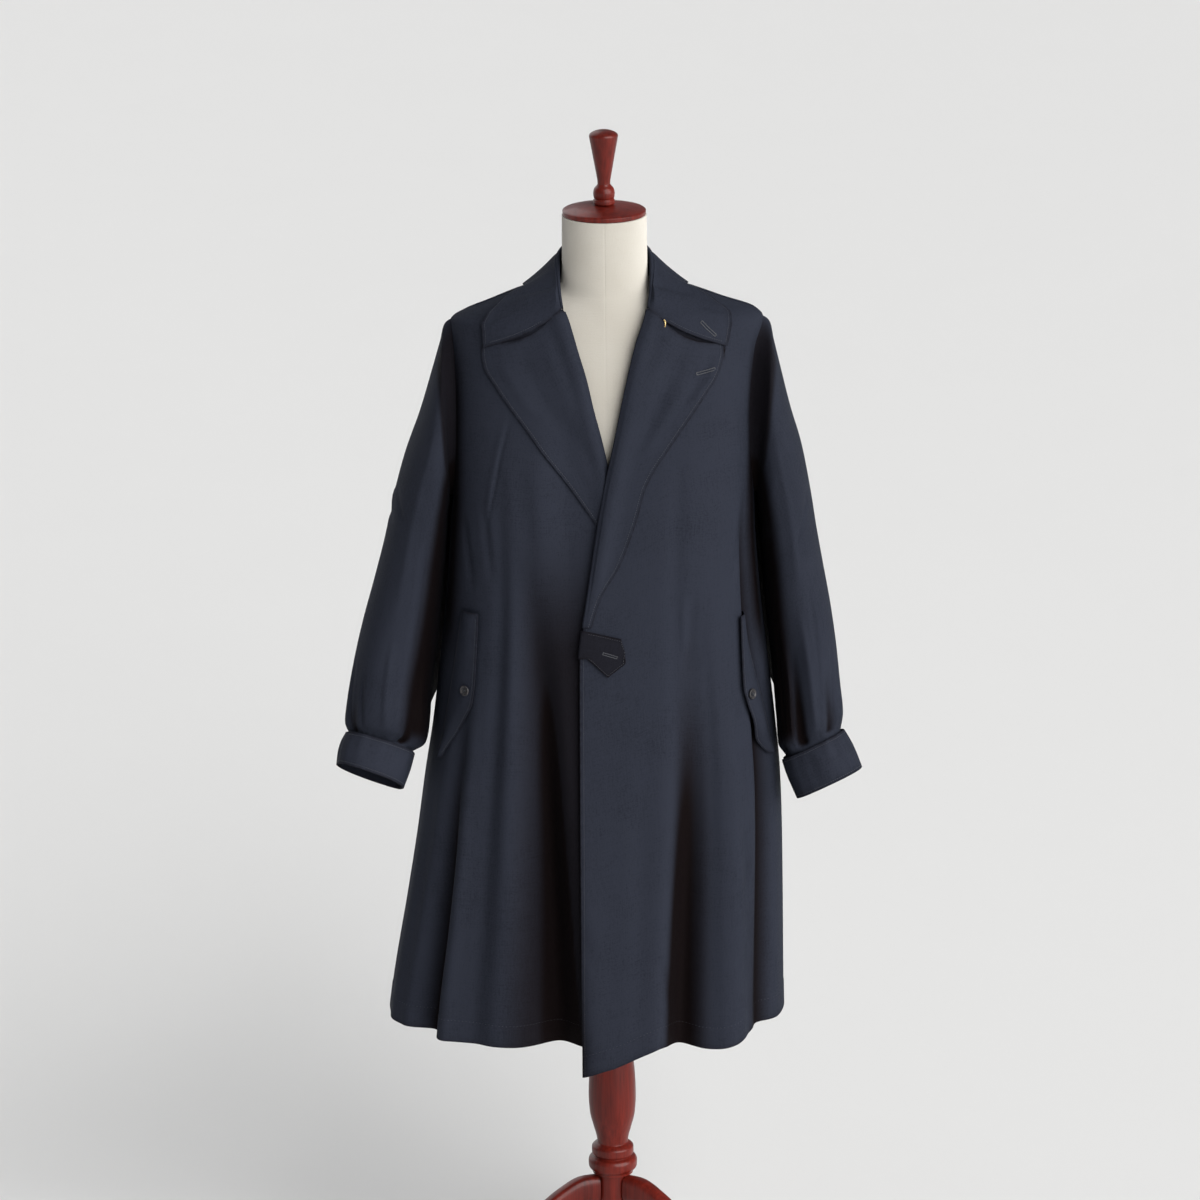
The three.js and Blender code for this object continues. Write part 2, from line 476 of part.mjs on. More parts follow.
function frontPanel(side) {
  const edge = side < 0 ? RIGHT_EDGE : LEFT_EDGE;
  const neckFrontZ = side < 0 ? 1464 : 1466;
  const last = FRONT_COLUMNS - 1;
  const atSeam = (z) => armholeBite(z) < 1e-3;
  const grid = ROW_SHARES.map((share) => range(FRONT_COLUMNS).map((j) => {
    const across = j / last;
    const neckZ = mix(neckFrontZ, NECK_POINT_Z, across);
    const corner = side > 0 ? FRONT_CORNER_DROP * clamp01(1 - across / 0.21) ** 1.2 : 0;
    const dip = side > 0 ? 11 * bump((across - 0.42) / 0.13) : 0;
    const hem = mix(HEM_Z, HEM_BACK_Z, smooth((across - 0.55) / 0.2)) - corner - dip;
    const z = mix(hem, neckZ, share);
    const start = angleAt(along(edge, 'z', z, 'x'), z);
    const end = side * (90 - ARMHOLE_FRONT * armholeBite(z));
    const angle = mix(start, end, across);
    const x = bodyBase(angle, z).x;
    const p = onCoat(angle, z, side < 0 ? -rightFrontRecess(x, z) : 0);
    return j === last && atSeam(z) ? sideSeamShift(p, true) : p;
  }));
  const flat = (i, j) => j === last && atSeam(grid[i][j].z);
  return clothWall(grid, CLOTH, { turned: side > 0 ? 1 : -1, flat });
}

function backPanel() {
  const last = BACK_COLUMNS - 1;
  const atSeam = (z, j) => (j === 0 || j === last) && armholeBite(z) < 1e-3;
  const grid = ROW_SHARES.map((share) => range(BACK_COLUMNS).map((j) => {
    const across = j / last;
    const middle = Math.sin(Math.PI * across);
    const z = mix(HEM_BACK_Z, mix(NECK_POINT_Z, NECK_BACK_Z, middle), share);
    const bite = ARMHOLE_BACK * armholeBite(z);
    const p = onCoat(mix(90 + bite, 270 - bite, across), z);
    return atSeam(z, j) ? sideSeamShift(p, false) : p;
  }));
  return clothWall(grid, CLOTH, { flat: (i, j) => atSeam(grid[i][j].z, j) });
}

// ---- Lapels, collar and tab ----
const LAPEL_ROWS = 16;
const LAPEL_COLUMNS = 6;
const ROLL_STEPS = 3;
const COLLAR_SAG = 2.5;

// How far the collar's front edge, and the lapel's top edge below it, sag.
const collarBow = (t) => COLLAR_BOW * Math.sin(Math.PI * clamp01(t) ** 0.6);

// Points that wrap round a front's free edge, from its inside to its outside.
function edgeRoll(side, edgeTable, z, standOff) {
  const x = along(edgeTable, 'z', z, 'x');
  const recess = side < 0 ? rightFrontRecess(x, z) : 0;
  return range(ROLL_STEPS).map((k) => {
    const turn = (Math.PI * (k + 0.5)) / ROLL_STEPS;
    const out = -CLOTH / 2 - Math.cos(turn) * (CLOTH / 2 + LAY + CLOTH) - recess;
    return onCoat(angleAt(x - side * standOff * Math.sin(turn), z), z, out);
  });
}

function rightFrontRecess(x, z) {
  return OVERLAP_RECESS * smooth((x + 100) / 50) * smooth((1345 - z) / 90);
}

function lapel(side) {
  const table = side < 0 ? RIGHT_LAPEL : LEFT_LAPEL;
  const edge = side < 0 ? RIGHT_EDGE : LEFT_EDGE;
  const grid = range(LAPEL_ROWS).map((i) => {
    const row = rowAt(table, i / (LAPEL_ROWS - 1));
    const rollX = along(edge, 'z', row.rollZ, 'x');
    const flat = range(LAPEL_COLUMNS).map((j) => {
      const t = (j + 0.6) / (LAPEL_COLUMNS - 0.4);
      const x = mix(rollX, row.edgeX, t);
      const sag = 0.5 * collarBow(t) * smooth(1 - i / 4);
      const z = mix(row.rollZ, row.edgeZ, t) - sag;
      const recess = side < 0 ? rightFrontRecess(x, z) : 0;
      return onCoat(angleAt(x, z), z, LAY + CLOTH - recess);
    });
    return [...edgeRoll(side, edge, row.rollZ, LAPEL_ROLL), ...flat];
  });
  return clothWall(grid, CLOTH, { turned: side < 0 ? 1 : -1 });
}

const COLLAR_STATIONS = 22;
const FALL_STEPS = 4;
function collar() {
  const grid = range(COLLAR_STATIONS).map((i) => {
    const way = (2 * i) / (COLLAR_STATIONS - 1);
    const side = way < 1 ? -1 : 1;
    const row = rowAt(COLLAR, way < 1 ? way : 2 - way);
    const fold = new THREE.Vector3(side * row.foldX, row.foldY, row.foldZ);
    const outward = new THREE.Vector3(fold.x, fold.y, 0).normalize();
    const angle = side * row.edgeAngle;
    const edge = onCoat(angle, row.edgeZ, COLLAR_LIFT);
    const foot = fold.clone().addScaledVector(outward, -COLLAR_ROLL);
    const neckline = mix(1467, NECK_BACK_Z + 2, smooth((fold.y + 72) / 76));
    foot.setZ(Math.min(fold.z - 1.5, neckline));
    const roll = range(5).map((k) => {
      const turn = Math.PI * (1 - k / 4);
      return fold.clone().addScaledVector(outward, COLLAR_ROLL * Math.cos(turn))
        .setZ(fold.z + COLLAR_ROLL * Math.sin(turn));
    });
    const bow = smooth(1 - Math.min(way, 2 - way) * 6);
    const start = roll[4];
    const fall = range(FALL_STEPS).map((k) => {
      const t = (k + 1) / FALL_STEPS;
      const p = start.clone().lerp(edge, t);
      p.setZ(p.z - bow * collarBow(t) - COLLAR_SAG * Math.sin(Math.PI * t));
      return t === 1 ? edge : liftedOff(p, COLLAR_LIFT);
    });
    return [foot, ...roll, ...fall];
  });
  return clothWall(grid, CLOTH, { turned: -1 });
}

function frontTab() {
  const rows = 6;
  const lift = LAY + FLAP_CLOTH;
  const grid = range(rows).map((i) => {
    const down = i / (rows - 1);
    const rootZ = mix(TAB[0].top + 1, TAB[0].bottom - 1, down);
    const laid = TAB.map((column) => {
      const z = mix(column.top, column.bottom, down);
      return onCoat(angleAt(column.x, z), z, lift);
    });
    const root = range(ROLL_STEPS).map((k) => {
      const turn = (Math.PI * (k + 0.5)) / ROLL_STEPS;
      const out = -CLOTH / 2 - Math.cos(turn) * (CLOTH / 2 + LAY + FLAP_CLOTH);
      const x = along(LEFT_EDGE, 'z', rootZ, 'x') - (LAPEL_ROLL + 0.6) * Math.sin(turn);
      return onCoat(angleAt(x, rootZ), rootZ, out);
    });
    return [...root, ...laid];
  });
  return clothWall(grid, FLAP_CLOTH, { turned: -1 });
}

// ---- Sleeves and cuffs ----
const ARM_COLUMNS = 2 * ARMHOLE_STEPS;
const SLEEVE_ROWS = 15;

function armRing(row, side) {
  const centre = new THREE.Vector3((row.outX + row.inX) / 2, row.midY, (row.outZ + row.inZ) / 2);
  const across = new THREE.Vector3((row.outX - row.inX) / 2, 0, (row.outZ - row.inZ) / 2);
  const lean = radians(row.lean);
  const forward = new THREE.Vector3(0, -Math.cos(lean), Math.sin(lean)).multiplyScalar(row.halfY);
  const rounded = (v) => Math.sign(v) * Math.abs(v) ** 0.88;
  return (turn) => {
    const p = centre.clone().addScaledVector(across, rounded(Math.cos(turn)));
    p.addScaledVector(forward, rounded(Math.sin(turn)));
    return p.setX(p.x * side);
  };
}

// The inner side of a sleeve hangs against the side of the body.
function besideBody(p, turn, share, side) {
  const s = bodySection(p.z);
  const deep = Math.abs(p.y) / (p.y < 0 ? s.front : s.back);
  if (deep >= 1) return p;
  const back = smooth(0.3 - 1.5 * Math.cos(turn)) * smooth(0.25 - 1.5 * Math.sin(turn));
  const weight = back * smooth(share * 8) * smooth((0.93 - share) / 0.2);
  const wide = (1 - deep ** s.power) ** (1 / s.power) * (side < 0 ? s.right : s.left);
  const beside = wide + SLEEVE_REST;
  const pulled = mix(Math.abs(p.x), Math.min(Math.abs(p.x), beside), weight);
  const clear = share > 0.1 ? Math.max(pulled, beside) : pulled;
  return p.setX(side * clear);
}

function sleeve(side) {
  const table = side < 0 ? RIGHT_SLEEVE : LEFT_SLEEVE;
  const pleats = side < 0 ? RIGHT_PLEATS : LEFT_PLEATS;
  const turns = range(ARM_COLUMNS).map((j) => (2 * Math.PI * j) / ARM_COLUMNS);
  const armhole = turns.map((turn) => {
    const z = ARMHOLE_MIDDLE + ARMHOLE_HALF * Math.cos(turn);
    const bite = Math.sin(turn) > 0 ? -ARMHOLE_FRONT : ARMHOLE_BACK;
    const p = onCoat(side * (90 + bite * Math.abs(Math.sin(turn))), z);
    return p.setX(p.x + side * (SEAM + 0.8 * Math.cos(turn) ** 4 + 0.6 * Math.abs(Math.sin(turn))));
  });
  const rings = range(SLEEVE_ROWS).map((i) => {
    const share = i / (SLEEVE_ROWS - 1);
    const row = rowAt(table, share);
    const ring = armRing(row, side);
    const centre = ring(0).add(ring(Math.PI)).multiplyScalar(0.5);
    return turns.map((turn) => {
      const p = besideBody(ring(turn), turn, share, side);
      const around = THREE.MathUtils.radToDeg(turn);
      let depth = 0;
      for (const pleat of pleats) {
        const grown = smooth((share - pleat.from) / (0.97 - pleat.from));
        depth += pleat.depth * grown * bump((around - pleat.angle) / pleat.width);
      }
      depth *= 1 - smooth((share - 0.95) / 0.05);
      const inward = centre.clone().sub(p).normalize();
      return p.addScaledVector(inward, depth);
    });
  });
  return clothWall([armhole, ...rings], CLOTH, { loop: true, turned: side });
}

const CUFF_COLUMNS = 24;
const CUFF_OVERLAP = 26;      // degrees by which the cuff's ends overlap
function cuff(side) {
  const table = side < 0 ? RIGHT_CUFF : LEFT_CUFF;
  const opening = side < 0 ? 222 : 140;
  const grid = range(3).map((i) => {
    const row = rowAt(table, i / 2);
    const ring = armRing(row, side);
    const centre = ring(0).add(ring(Math.PI)).multiplyScalar(0.5);
    return range(CUFF_COLUMNS).map((j) => {
      const sweep = (j / (CUFF_COLUMNS - 1)) * (360 + CUFF_OVERLAP);
      const p = ring(radians(opening + sweep));
      const over = smooth((sweep - 360 + 20) / 20) * (CUFF_CLOTH + 0.8);
      return p.addScaledVector(p.clone().sub(centre).normalize(), over);
    });
  });
  return clothWall(grid, CUFF_CLOTH, { turned: side });
}

// ---- Pocket flaps, buttons and the throat hook ----
// A flap is a flat band that arches from its sewn edge to its free edge.
const FLAP_STAND = { right: 2, left: 4 };
const FLAP_ARCH = { right: 5, left: 5 };
function flapPoint(side, share, across, out = 0) {
  const row = rowAt(side < 0 ? RIGHT_FLAP : LEFT_FLAP, share);
  const word = side < 0 ? 'right' : 'left';
  const sewn = onCoat(row.sewn, row.z, LAY + FLAP_CLOTH);
  const free = onCoat(row.free, row.z, LAY + FLAP_CLOTH + FLAP_STAND[word]);
  const outward = bodyNormal(bodyBase((row.sewn + row.free) / 2, row.z));
  const arch = FLAP_ARCH[word] * Math.sin(Math.PI * clamp01(across));
  return sewn.lerp(free, across).addScaledVector(outward, arch + out);
}

function pocketFlap(side) {
  const grid = range(11).map((i) => range(5).map((j) => flapPoint(side, i / 10, j / 4)));
  return clothWall(grid, FLAP_CLOTH, { turned: side });
}

function flapButton(side) {
  const seat = { share: side < 0 ? 0.47 : 0.52, across: side < 0 ? 0.74 : 0.76 };
  const middle = flapPoint(side, seat.share, seat.across, BUTTON_SEAT);
  const beside = flapPoint(side, seat.share, seat.across + 0.1, BUTTON_SEAT);
  const above = flapPoint(side, seat.share - 0.03, seat.across, BUTTON_SEAT);
  const normal = beside.sub(middle).cross(above.sub(middle)).normalize();
  if (normal.y > 0) normal.negate();
  const profile = [[0, 0], [6.4, 0], [BUTTON_RADIUS, 1.2], [6.6, 2.8], [5.2, 2.6], [4.4, 1.8],
    [0, 1.7]].map(([r, h]) => new THREE.Vector2(r, h));
  const geometry = new THREE.LatheGeometry(profile, 12);
  const turn = new THREE.Quaternion().setFromUnitVectors(new THREE.Vector3(0, 1, 0), normal);
  return geometry.applyQuaternion(turn).translate(middle.x, middle.y, middle.z);
}

function throatHook() {
  const path = [{ x: 76.2, z: 1449.5, out: 15 }, { x: 77.2, z: 1451, out: 16.4 },
    { x: 78.6, z: 1448, out: 16.6 }, { x: 79.4, z: 1443, out: 16 }, { x: 79.2, z: 1440, out: 14.6 },
    { x: 78, z: 1439, out: 13.6 }];
  const curve = new THREE.CatmullRomCurve3(path.map((p) => onCoat(angleAt(p.x, p.z), p.z, p.out)));
  const wire = new THREE.Shape(range(6).map((k) => new THREE.Vector2(0.75, 0)
    .rotateAround(new THREE.Vector2(), (Math.PI * k) / 3)));
  return new THREE.ExtrudeGeometry(wire, { steps: 10, extrudePath: curve });
}

// ---- The dress form and its stand ----
function cappedTube(rings) {
  const columns = rings[0].length;
  const points = rings.flat();
  const faces = [];
  for (let i = 0; i < rings.length - 1; i += 1) {
    for (let j = 0; j < columns; j += 1) {
      const next = (j + 1) % columns;
      const a = i * columns;
      const b = a + columns;
      faces.push([a + j, a + next, b + next], [a + j, b + next, b + j]);
    }
  }
  const top = (rings.length - 1) * columns;
  for (let j = 1; j < columns - 1; j += 1) {
    faces.push([0, j + 1, j], [top, top + j, top + j + 1]);
  }
  return solidFrom(points, faces);
}

function formBody() {
  const columns = 24;
  const levels = FORM.flatMap((row, i) => {
    const next = FORM[i + 1];
    return next && next.z - row.z > 50 ? [row.z, (row.z + next.z) / 2] : [row.z];
  });
  return cappedTube(levels.map((z) => range(columns).map((j) => {
    const turn = (2 * Math.PI * j) / columns;
    const at = (column) => along(FORM, 'z', z, column);
    const power = 2 / at('power');
    const x = Math.sign(Math.sin(turn)) * at('half') * Math.abs(Math.sin(turn)) ** power;
    const deep = Math.cos(turn) > 0 ? -at('front') : at('back');
    return new THREE.Vector3(x, deep * Math.abs(Math.cos(turn)) ** power, z);
  })));
}

function turned(profile, segments) {
  const points = profile.map((row) => new THREE.Vector2(row.r, row.z));
  return new THREE.LatheGeometry(points, segments).rotateX(Math.PI / 2);
}

// A leg's section is a rounded oblong, and its foot ends flat on the floor.
function leg(direction) {
  const columns = 8;
  const corner = (turn) => [Math.sign(Math.cos(turn)) * Math.abs(Math.cos(turn)) ** 0.6,
    Math.sign(Math.sin(turn)) * Math.abs(Math.sin(turn)) ** 0.6];
  const outward = new THREE.Vector3(Math.cos(direction), Math.sin(direction), 0);
  const sideways = new THREE.Vector3(-outward.y, outward.x, 0);
  const place = (reach, side, z) => outward.clone().multiplyScalar(reach)
    .addScaledVector(sideways, side).setZ(z);
  const rings = LEG.map((row, i) => range(columns).map((j) => {
    const [tall, wide] = corner((2 * Math.PI * (j + 0.5)) / columns);
    const before = LEG[Math.max(0, i - 1)];
    const after = LEG[Math.min(LEG.length - 1, i + 1)];
    const slope = i === 0 ? 0 : Math.atan2(after.z - before.z, after.reach - before.reach);
    const side = wide * row.wide;
    const reach = row.reach - Math.sin(slope) * tall * row.tall;
    return place(reach, side, row.z + Math.cos(slope) * tall * row.tall);
  }));
  const foot = range(columns).map((j) => {
    const [tall, wide] = corner((2 * Math.PI * (j + 0.5)) / columns);
    return place(LEG_FOOT.reach + tall * LEG_FOOT.half, wide * LEG_FOOT.half * 0.85, 0);
  });
  return cappedTube([...rings, foot]);
}

// ---- Assembly ----
addPiece('back', backPanel(), COLOURS.cloth);
for (const [side, word] of [[-1, 'right'], [1, 'left']]) {
  addPiece(`front_${word}`, frontPanel(side), COLOURS.cloth);
  addPiece(`lapel_${word}`, lapel(side), COLOURS.lapel);
  addPiece(`sleeve_${word}`, sleeve(side), COLOURS.cloth);
  addPiece(`cuff_${word}`, cuff(side), COLOURS.lapel);
  addPiece(`pocket_flap_${word}`, pocketFlap(side), COLOURS.lapel);
  addPiece(`flap_button_${word}`, flapButton(side), COLOURS.button, 0.35);
}
addPiece('collar', collar(), COLOURS.lapel);
addPiece('front_tab', frontTab(), COLOURS.lapel);
addPiece('throat_hook', throatHook(), COLOURS.brass, 0.3, 1);
addPiece('form_body', formBody(), COLOURS.calico, 0.9);
addPiece('form_cap', turned(CAP, 22), COLOURS.wood, 0.3);
addPiece('form_finial', turned(FINIAL, 14), COLOURS.wood, 0.3);
addPiece('stand_column', turned(COLUMN, 16), COLOURS.wood, 0.3);
for (const k of range(LEG_COUNT)) {
  const direction = radians(BACK_LEG_ANGLE + (360 * k) / LEG_COUNT);
  addPiece(`stand_leg_${k + 1}`, leg(direction), COLOURS.wood, 0.3);
}

// The origin is on the floor, under the middle of the whole object's box.
const box = new THREE.Box3().setFromObject(pieces);
pieces.position.set(-(box.min.x + box.max.x) / 2, -(box.min.y + box.max.y) / 2, 0);

export default pieces;
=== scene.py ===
"""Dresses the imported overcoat, its dress form and its turned stand with their visible surfaces.

Tables and points are in millimetres about the stand's axis, and meshes are made in metres.
The coat faces -Y, and its wearer's left is +X.
"""
import math

import bpy
import numpy as np
from bpy.props import FloatProperty, FloatVectorProperty, PointerProperty
from mathutils import Matrix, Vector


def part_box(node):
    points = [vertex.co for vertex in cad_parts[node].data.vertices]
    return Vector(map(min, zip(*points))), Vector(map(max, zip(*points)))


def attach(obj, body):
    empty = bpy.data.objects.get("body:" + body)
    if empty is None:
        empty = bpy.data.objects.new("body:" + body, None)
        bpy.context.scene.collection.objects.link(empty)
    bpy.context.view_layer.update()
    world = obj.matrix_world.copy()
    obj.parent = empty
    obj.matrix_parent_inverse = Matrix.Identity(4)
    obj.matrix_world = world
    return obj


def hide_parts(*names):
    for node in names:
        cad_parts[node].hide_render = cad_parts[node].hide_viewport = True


bl_info = {
    "name": "Overcoat on a dress form",
    "version": (1, 0, 0),
    "blender": (4, 5, 0),
    "location": "3D View > Sidebar > Overcoat",
    "description": "Sews the overcoat, pads the form, turns the stand and lights them",
    "category": "Object",
}

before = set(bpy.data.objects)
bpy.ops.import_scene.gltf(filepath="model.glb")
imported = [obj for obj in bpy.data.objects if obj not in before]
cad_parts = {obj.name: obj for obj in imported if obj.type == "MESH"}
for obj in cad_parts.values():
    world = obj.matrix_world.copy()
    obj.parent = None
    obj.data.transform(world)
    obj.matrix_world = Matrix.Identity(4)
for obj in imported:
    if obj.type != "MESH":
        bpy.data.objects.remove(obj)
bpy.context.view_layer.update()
MM = 0.001
cap_low, cap_high = (np.array(corner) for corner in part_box("form_cap"))
AXIS = np.array([(cap_low[0] + cap_high[0]) / 2, (cap_low[1] + cap_high[1]) / 2, 0])

# ---- Driving sizes, in millimetres ----
SEAM = 0.7             # clearance where two pieces are sewn together
LAY = 1.5              # clearance below a piece that lies on a panel
CUFF_CLOTH = 2.2
FLAP_CLOTH = 2.0
HEM_Z = 427
HEM_BACK_Z = 431
FRONT_CORNER_DROP = 43
ARMPIT_Z = 1190
SHOULDER_TIP_Z = 1438
NECK_POINT_Z = 1493
NECK_BACK_Z = 1503
NECK_FRONT_Z = {"right": 1466.6, "left": 1466.6}
GORGE_TUCK = {"right": 3.0, "left": 1.0}    # the lapel's top runs up under the collar
NOTCH_DROP = 9.0       # the lapel hangs open below the collar at the notch
ARMHOLE_FRONT = 17     # degrees that the armhole bites into the front
ARMHOLE_BACK = 25
ARMHOLE_MIDDLE = (ARMPIT_Z + SHOULDER_TIP_Z) / 2
ARMHOLE_HALF = (SHOULDER_TIP_Z - ARMPIT_Z) / 2
OVERLAP_RECESS = 8.5   # the right front lies this far under the left
COLLAR_LIFT = 6
COLLAR_ROLL = 2.3
COLLAR_BOW = 11.5
COLLAR_SAG = 2.5
LAPEL_ROLL = 2.6
BUTTON_RADIUS = 7.5
BUTTON_SEAT = 1.1
BUTTON_HOLE = {"away": 1.75, "radius": 0.75}
SLEEVE_REST = 4.5      # a sleeve hangs this far off the side of the body
SEAM_TURNING = 3.0     # the sleeve's head runs this far under the panels
SLEEVE_ROWS = 150
SLEEVE_COLUMNS = 150
HEAD_ROWS = 14         # rows from the armhole to the first ring of the arm
INTO_CUFF = (3, 6, 9)  # the sleeve's last rows, inside its cuff
CUFF_OVERLAP = 26      # degrees
DEGREE_OF_BODY = 3.7   # millimetres of cloth for each degree round the body
DEGREE_OF_ARM = 1.45
SLEEVE_LENGTH = 620
HUB_RADIUS = 24
BACK_LEG_ANGLE = 84
NECK_SEAM_Z = 1476
SEAM_STEPS = np.array([-2.4, -1.2, -0.5, 0, 0.5, 1.2, 2.4])    # rows or columns at a seam
DART_TOP = (-31, 1324)     # angle and height
DART_LOW = (-42.6, 1177)
TAB_SHADE = 0.6        # the whole tab is darkened towards the painted shade tone
FLOOR_RADIUS = 60000
CAMERA = {"distance": 8000, "elevation": 17, "roll": 0.0096, "scale": 1.40,
          "target": (-10.8, 0, 1030.5), "pixels": 1200, "sensor": 36, "sees": 200}
SIDES = {"right": -1, "left": 1}


def table(columns, *rows):
    """A table as one array for each named column, with the rows' numbers as index."""
    made = dict(zip(columns.split(), np.array(rows, float).T))
    made["index"] = np.arange(len(rows), dtype=float)
    return made


def rows_of(rows):
    """The rows of a table, each as a dict of its columns."""
    return [{name: values[i] for name, values in rows.items()} for i in range(len(rows["index"]))]


# ---- Tables of the coat ----
BODY = table(
    "z right left front back power",
    (370, 324, 248, 190, 194, 2.2), (470, 311, 246, 183, 184, 2.25),
    (600, 288, 245, 175, 172, 2.3), (690, 273, 244, 169, 163, 2.35),
    (780, 260, 241, 163, 155, 2.4), (860, 247, 234, 158, 148, 2.45),
    (950, 236, 224, 153, 141, 2.5), (1050, 225, 213, 147, 136, 2.6),
    (1150, 217, 206, 138, 132, 2.8), (1190, 214, 205, 134, 131, 2.9),
    (1250, 213, 204, 127, 131, 2.9), (1300, 213, 204, 120, 131, 2.8),
    (1350, 213, 206, 113, 128, 2.6), (1400, 213, 210, 102, 117, 2.2),
    (1438, 213, 218, 88, 99, 1.9), (1450, 196, 208, 83, 93, 1.8),
    (1462, 166, 173, 78, 87, 1.75), (1476, 131, 134, 73, 81, 1.75),
    (1493, 78, 78, 68, 76, 1.9), (1506, 68, 68, 65, 74, 2.0), (1545, 62, 62, 62, 72, 2.0),
)
# Main folds, by angle from the centre front, + towards the wearer's left; depth + outwards.
FOLDS = table(
    "top full top_angle hem_angle top_width hem_width depth",
    (1200, 560, -24, -13, 5, 8, -34), (1200, 900, -11, -7.5, 3, 4, 2),
    (1060, 620, -46, -47, 5, 5, 9), (980, 520, -53, -55, 5, 6, -25),
    (900, 480, -76, -72, 6, 8, 8), (1130, 560, 27, 24, 6, 8, -24),
    (1060, 600, 42, 42, 5, 6, 8), (1290, 1040, 67, 60, 7, 7.5, -17),
    (1080, 560, 112, 110, 7, 9, -22), (1000, 560, 128, 128, 6, 8, 10),
    (1200, 560, 148, 145, 6, 9, -25), (1000, 560, 170, 166, 7, 9, 8),
    (1060, 480, 186, 188, 5, 7, -15), (1220, 600, 213, 216, 7, 10, -28),
    (1000, 560, 232, 235, 6, 8, 9), (1040, 560, 247, 252, 6, 8, -20),
)
# Finer folds between the main ones, uneven in length and depth.
SOFT_FOLDS = table(
    "top full top_angle hem_angle top_width hem_width depth",
    (1180, 700, -19, -12, 4, 5, -12), (900, 480, 25, 22, 5, 6, -9),
    (1320, 1160, 20, 20, 4, 5, -2.4), (940, 620, 9, 6, 3.4, 4.4, -2.2),
    (760, 520, 1, 0, 3, 3.6, -1.6), (1120, 820, 33, 33, 2.6, 3.4, -3.4),
    (900, 560, 50, 51, 3, 3.6, -3.6), (1310, 1120, -36, -33, 4, 4.6, -2.4),
    (1180, 960, -31, -30, 3, 4, 2.4), (1100, 800, -36, -36, 3.4, 4, -2.8),
    (860, 560, -63, -64, 3, 3.4, 3.4), (1260, 1060, 135, 137, 4, 4.6, -2.6),
    (1240, 1000, 160, 157, 4, 4.6, -3.2), (1330, 1180, 173, 176, 3.4, 4, 2.0),
    (1200, 900, 198, 200, 3.4, 4.4, -3.4), (1300, 1100, 224, 226, 3.6, 4, 2.4),
    (900, 560, 120, 120, 3, 3.6, -3.2), (880, 560, 178, 179, 3, 3.4, -2.8),
    (860, 540, 207, 205, 3, 3.6, 2.8), (900, 560, 243, 243, 3, 3.4, -2.8),
)
# Creases of the body from one angle and height to another, with half width and depth.
CREASES = table(
    "start_angle start end_angle end width depth",
    (28, 1080, 25, 960, 11, -2.6), (23, 1070, 24, 990, 7, 1.6),
    (31, 1040, 29, 960, 10, -1.6), (-46, 1200, -40, 1090, 10, -2.0),
    (-63, 1180, -52, 1080, 12, -2.4), (62, 1190, 52, 1085, 12, -2.4),
    (58, 1140, 47, 1020, 9, 1.6), (-26, 1260, -21, 1130, 18, -1.6),
    (118, 1210, 133, 1110, 13, -2.6), (242, 1210, 227, 1110, 13, -2.6),
    (150, 1330, 168, 1240, 16, -2.0), (212, 1320, 196, 1230, 16, -2.0),
    (140, 1100, 152, 1010, 12, 2.0), (222, 1080, 212, 1000, 12, 2.0),
    (-8, 620, -3, 540, 10, -1.8), (12, 560, 20, 480, 11, -1.6),
    (-60, 700, -57, 600, 10, 2.0), (46, 760, 50, 640, 10, -2.2),
    (170, 560, 178, 480, 12, -2.0), (225, 600, 218, 500, 12, -2.2),
)
LEFT_EDGE = table(
    "z x", (370, -42.6), (647, -41.2), (933, -39.7), (990, -39.1), (1019, -36.1),
    (1075, -27.3), (1131, -18.5), (1186, -9.7), (1240, 0.6), (1268, 7), (1296, 13.2),
    (1350, 24.6), (1403, 37.4), (1428, 44.8), (1453, 54.3), (1472, 60),
)
RIGHT_EDGE = table(
    "z x", (370, 40), (990, 38), (1019, 35), (1075, 28), (1131, 20), (1186, 12),
    (1240, 2.5), (1268, -2.4), (1296, -8.7), (1337, -19.2), (1377, -28.4), (1416, -40.3),
    (1442, -48.2), (1454, -52.2), (1466, -57.5),
)
LEFT_LAPEL = table(
    "roll_z edge_x edge_z",
    (1466, 160, 1417), (1452, 160.5, 1404), (1428, 154, 1379), (1396, 136, 1352),
    (1362, 115, 1323), (1326, 97, 1298), (1292, 80, 1274), (1262, 65.5, 1253),
    (1228, 52, 1226), (1190, 42.4, 1192), (1156, 31.1, 1158), (1121, 17.1, 1123),
    (1074, -10.8, 1075), (1046, -20, 1046), (1036, -23, 1036),
)
RIGHT_LAPEL = table(
    "roll_z edge_x edge_z",
    (1464, -166.5, 1421), (1448, -168.5, 1408), (1417, -165.5, 1388), (1385, -151.6, 1366),
    (1350, -131.3, 1338), (1314, -108, 1307), (1278, -85.5, 1275), (1242, -60, 1242),
    (1206, -35.5, 1208), (1168, -14, 1175), (1130, 2, 1138), (1092, 14, 1096), (1052, 23, 1054),
)
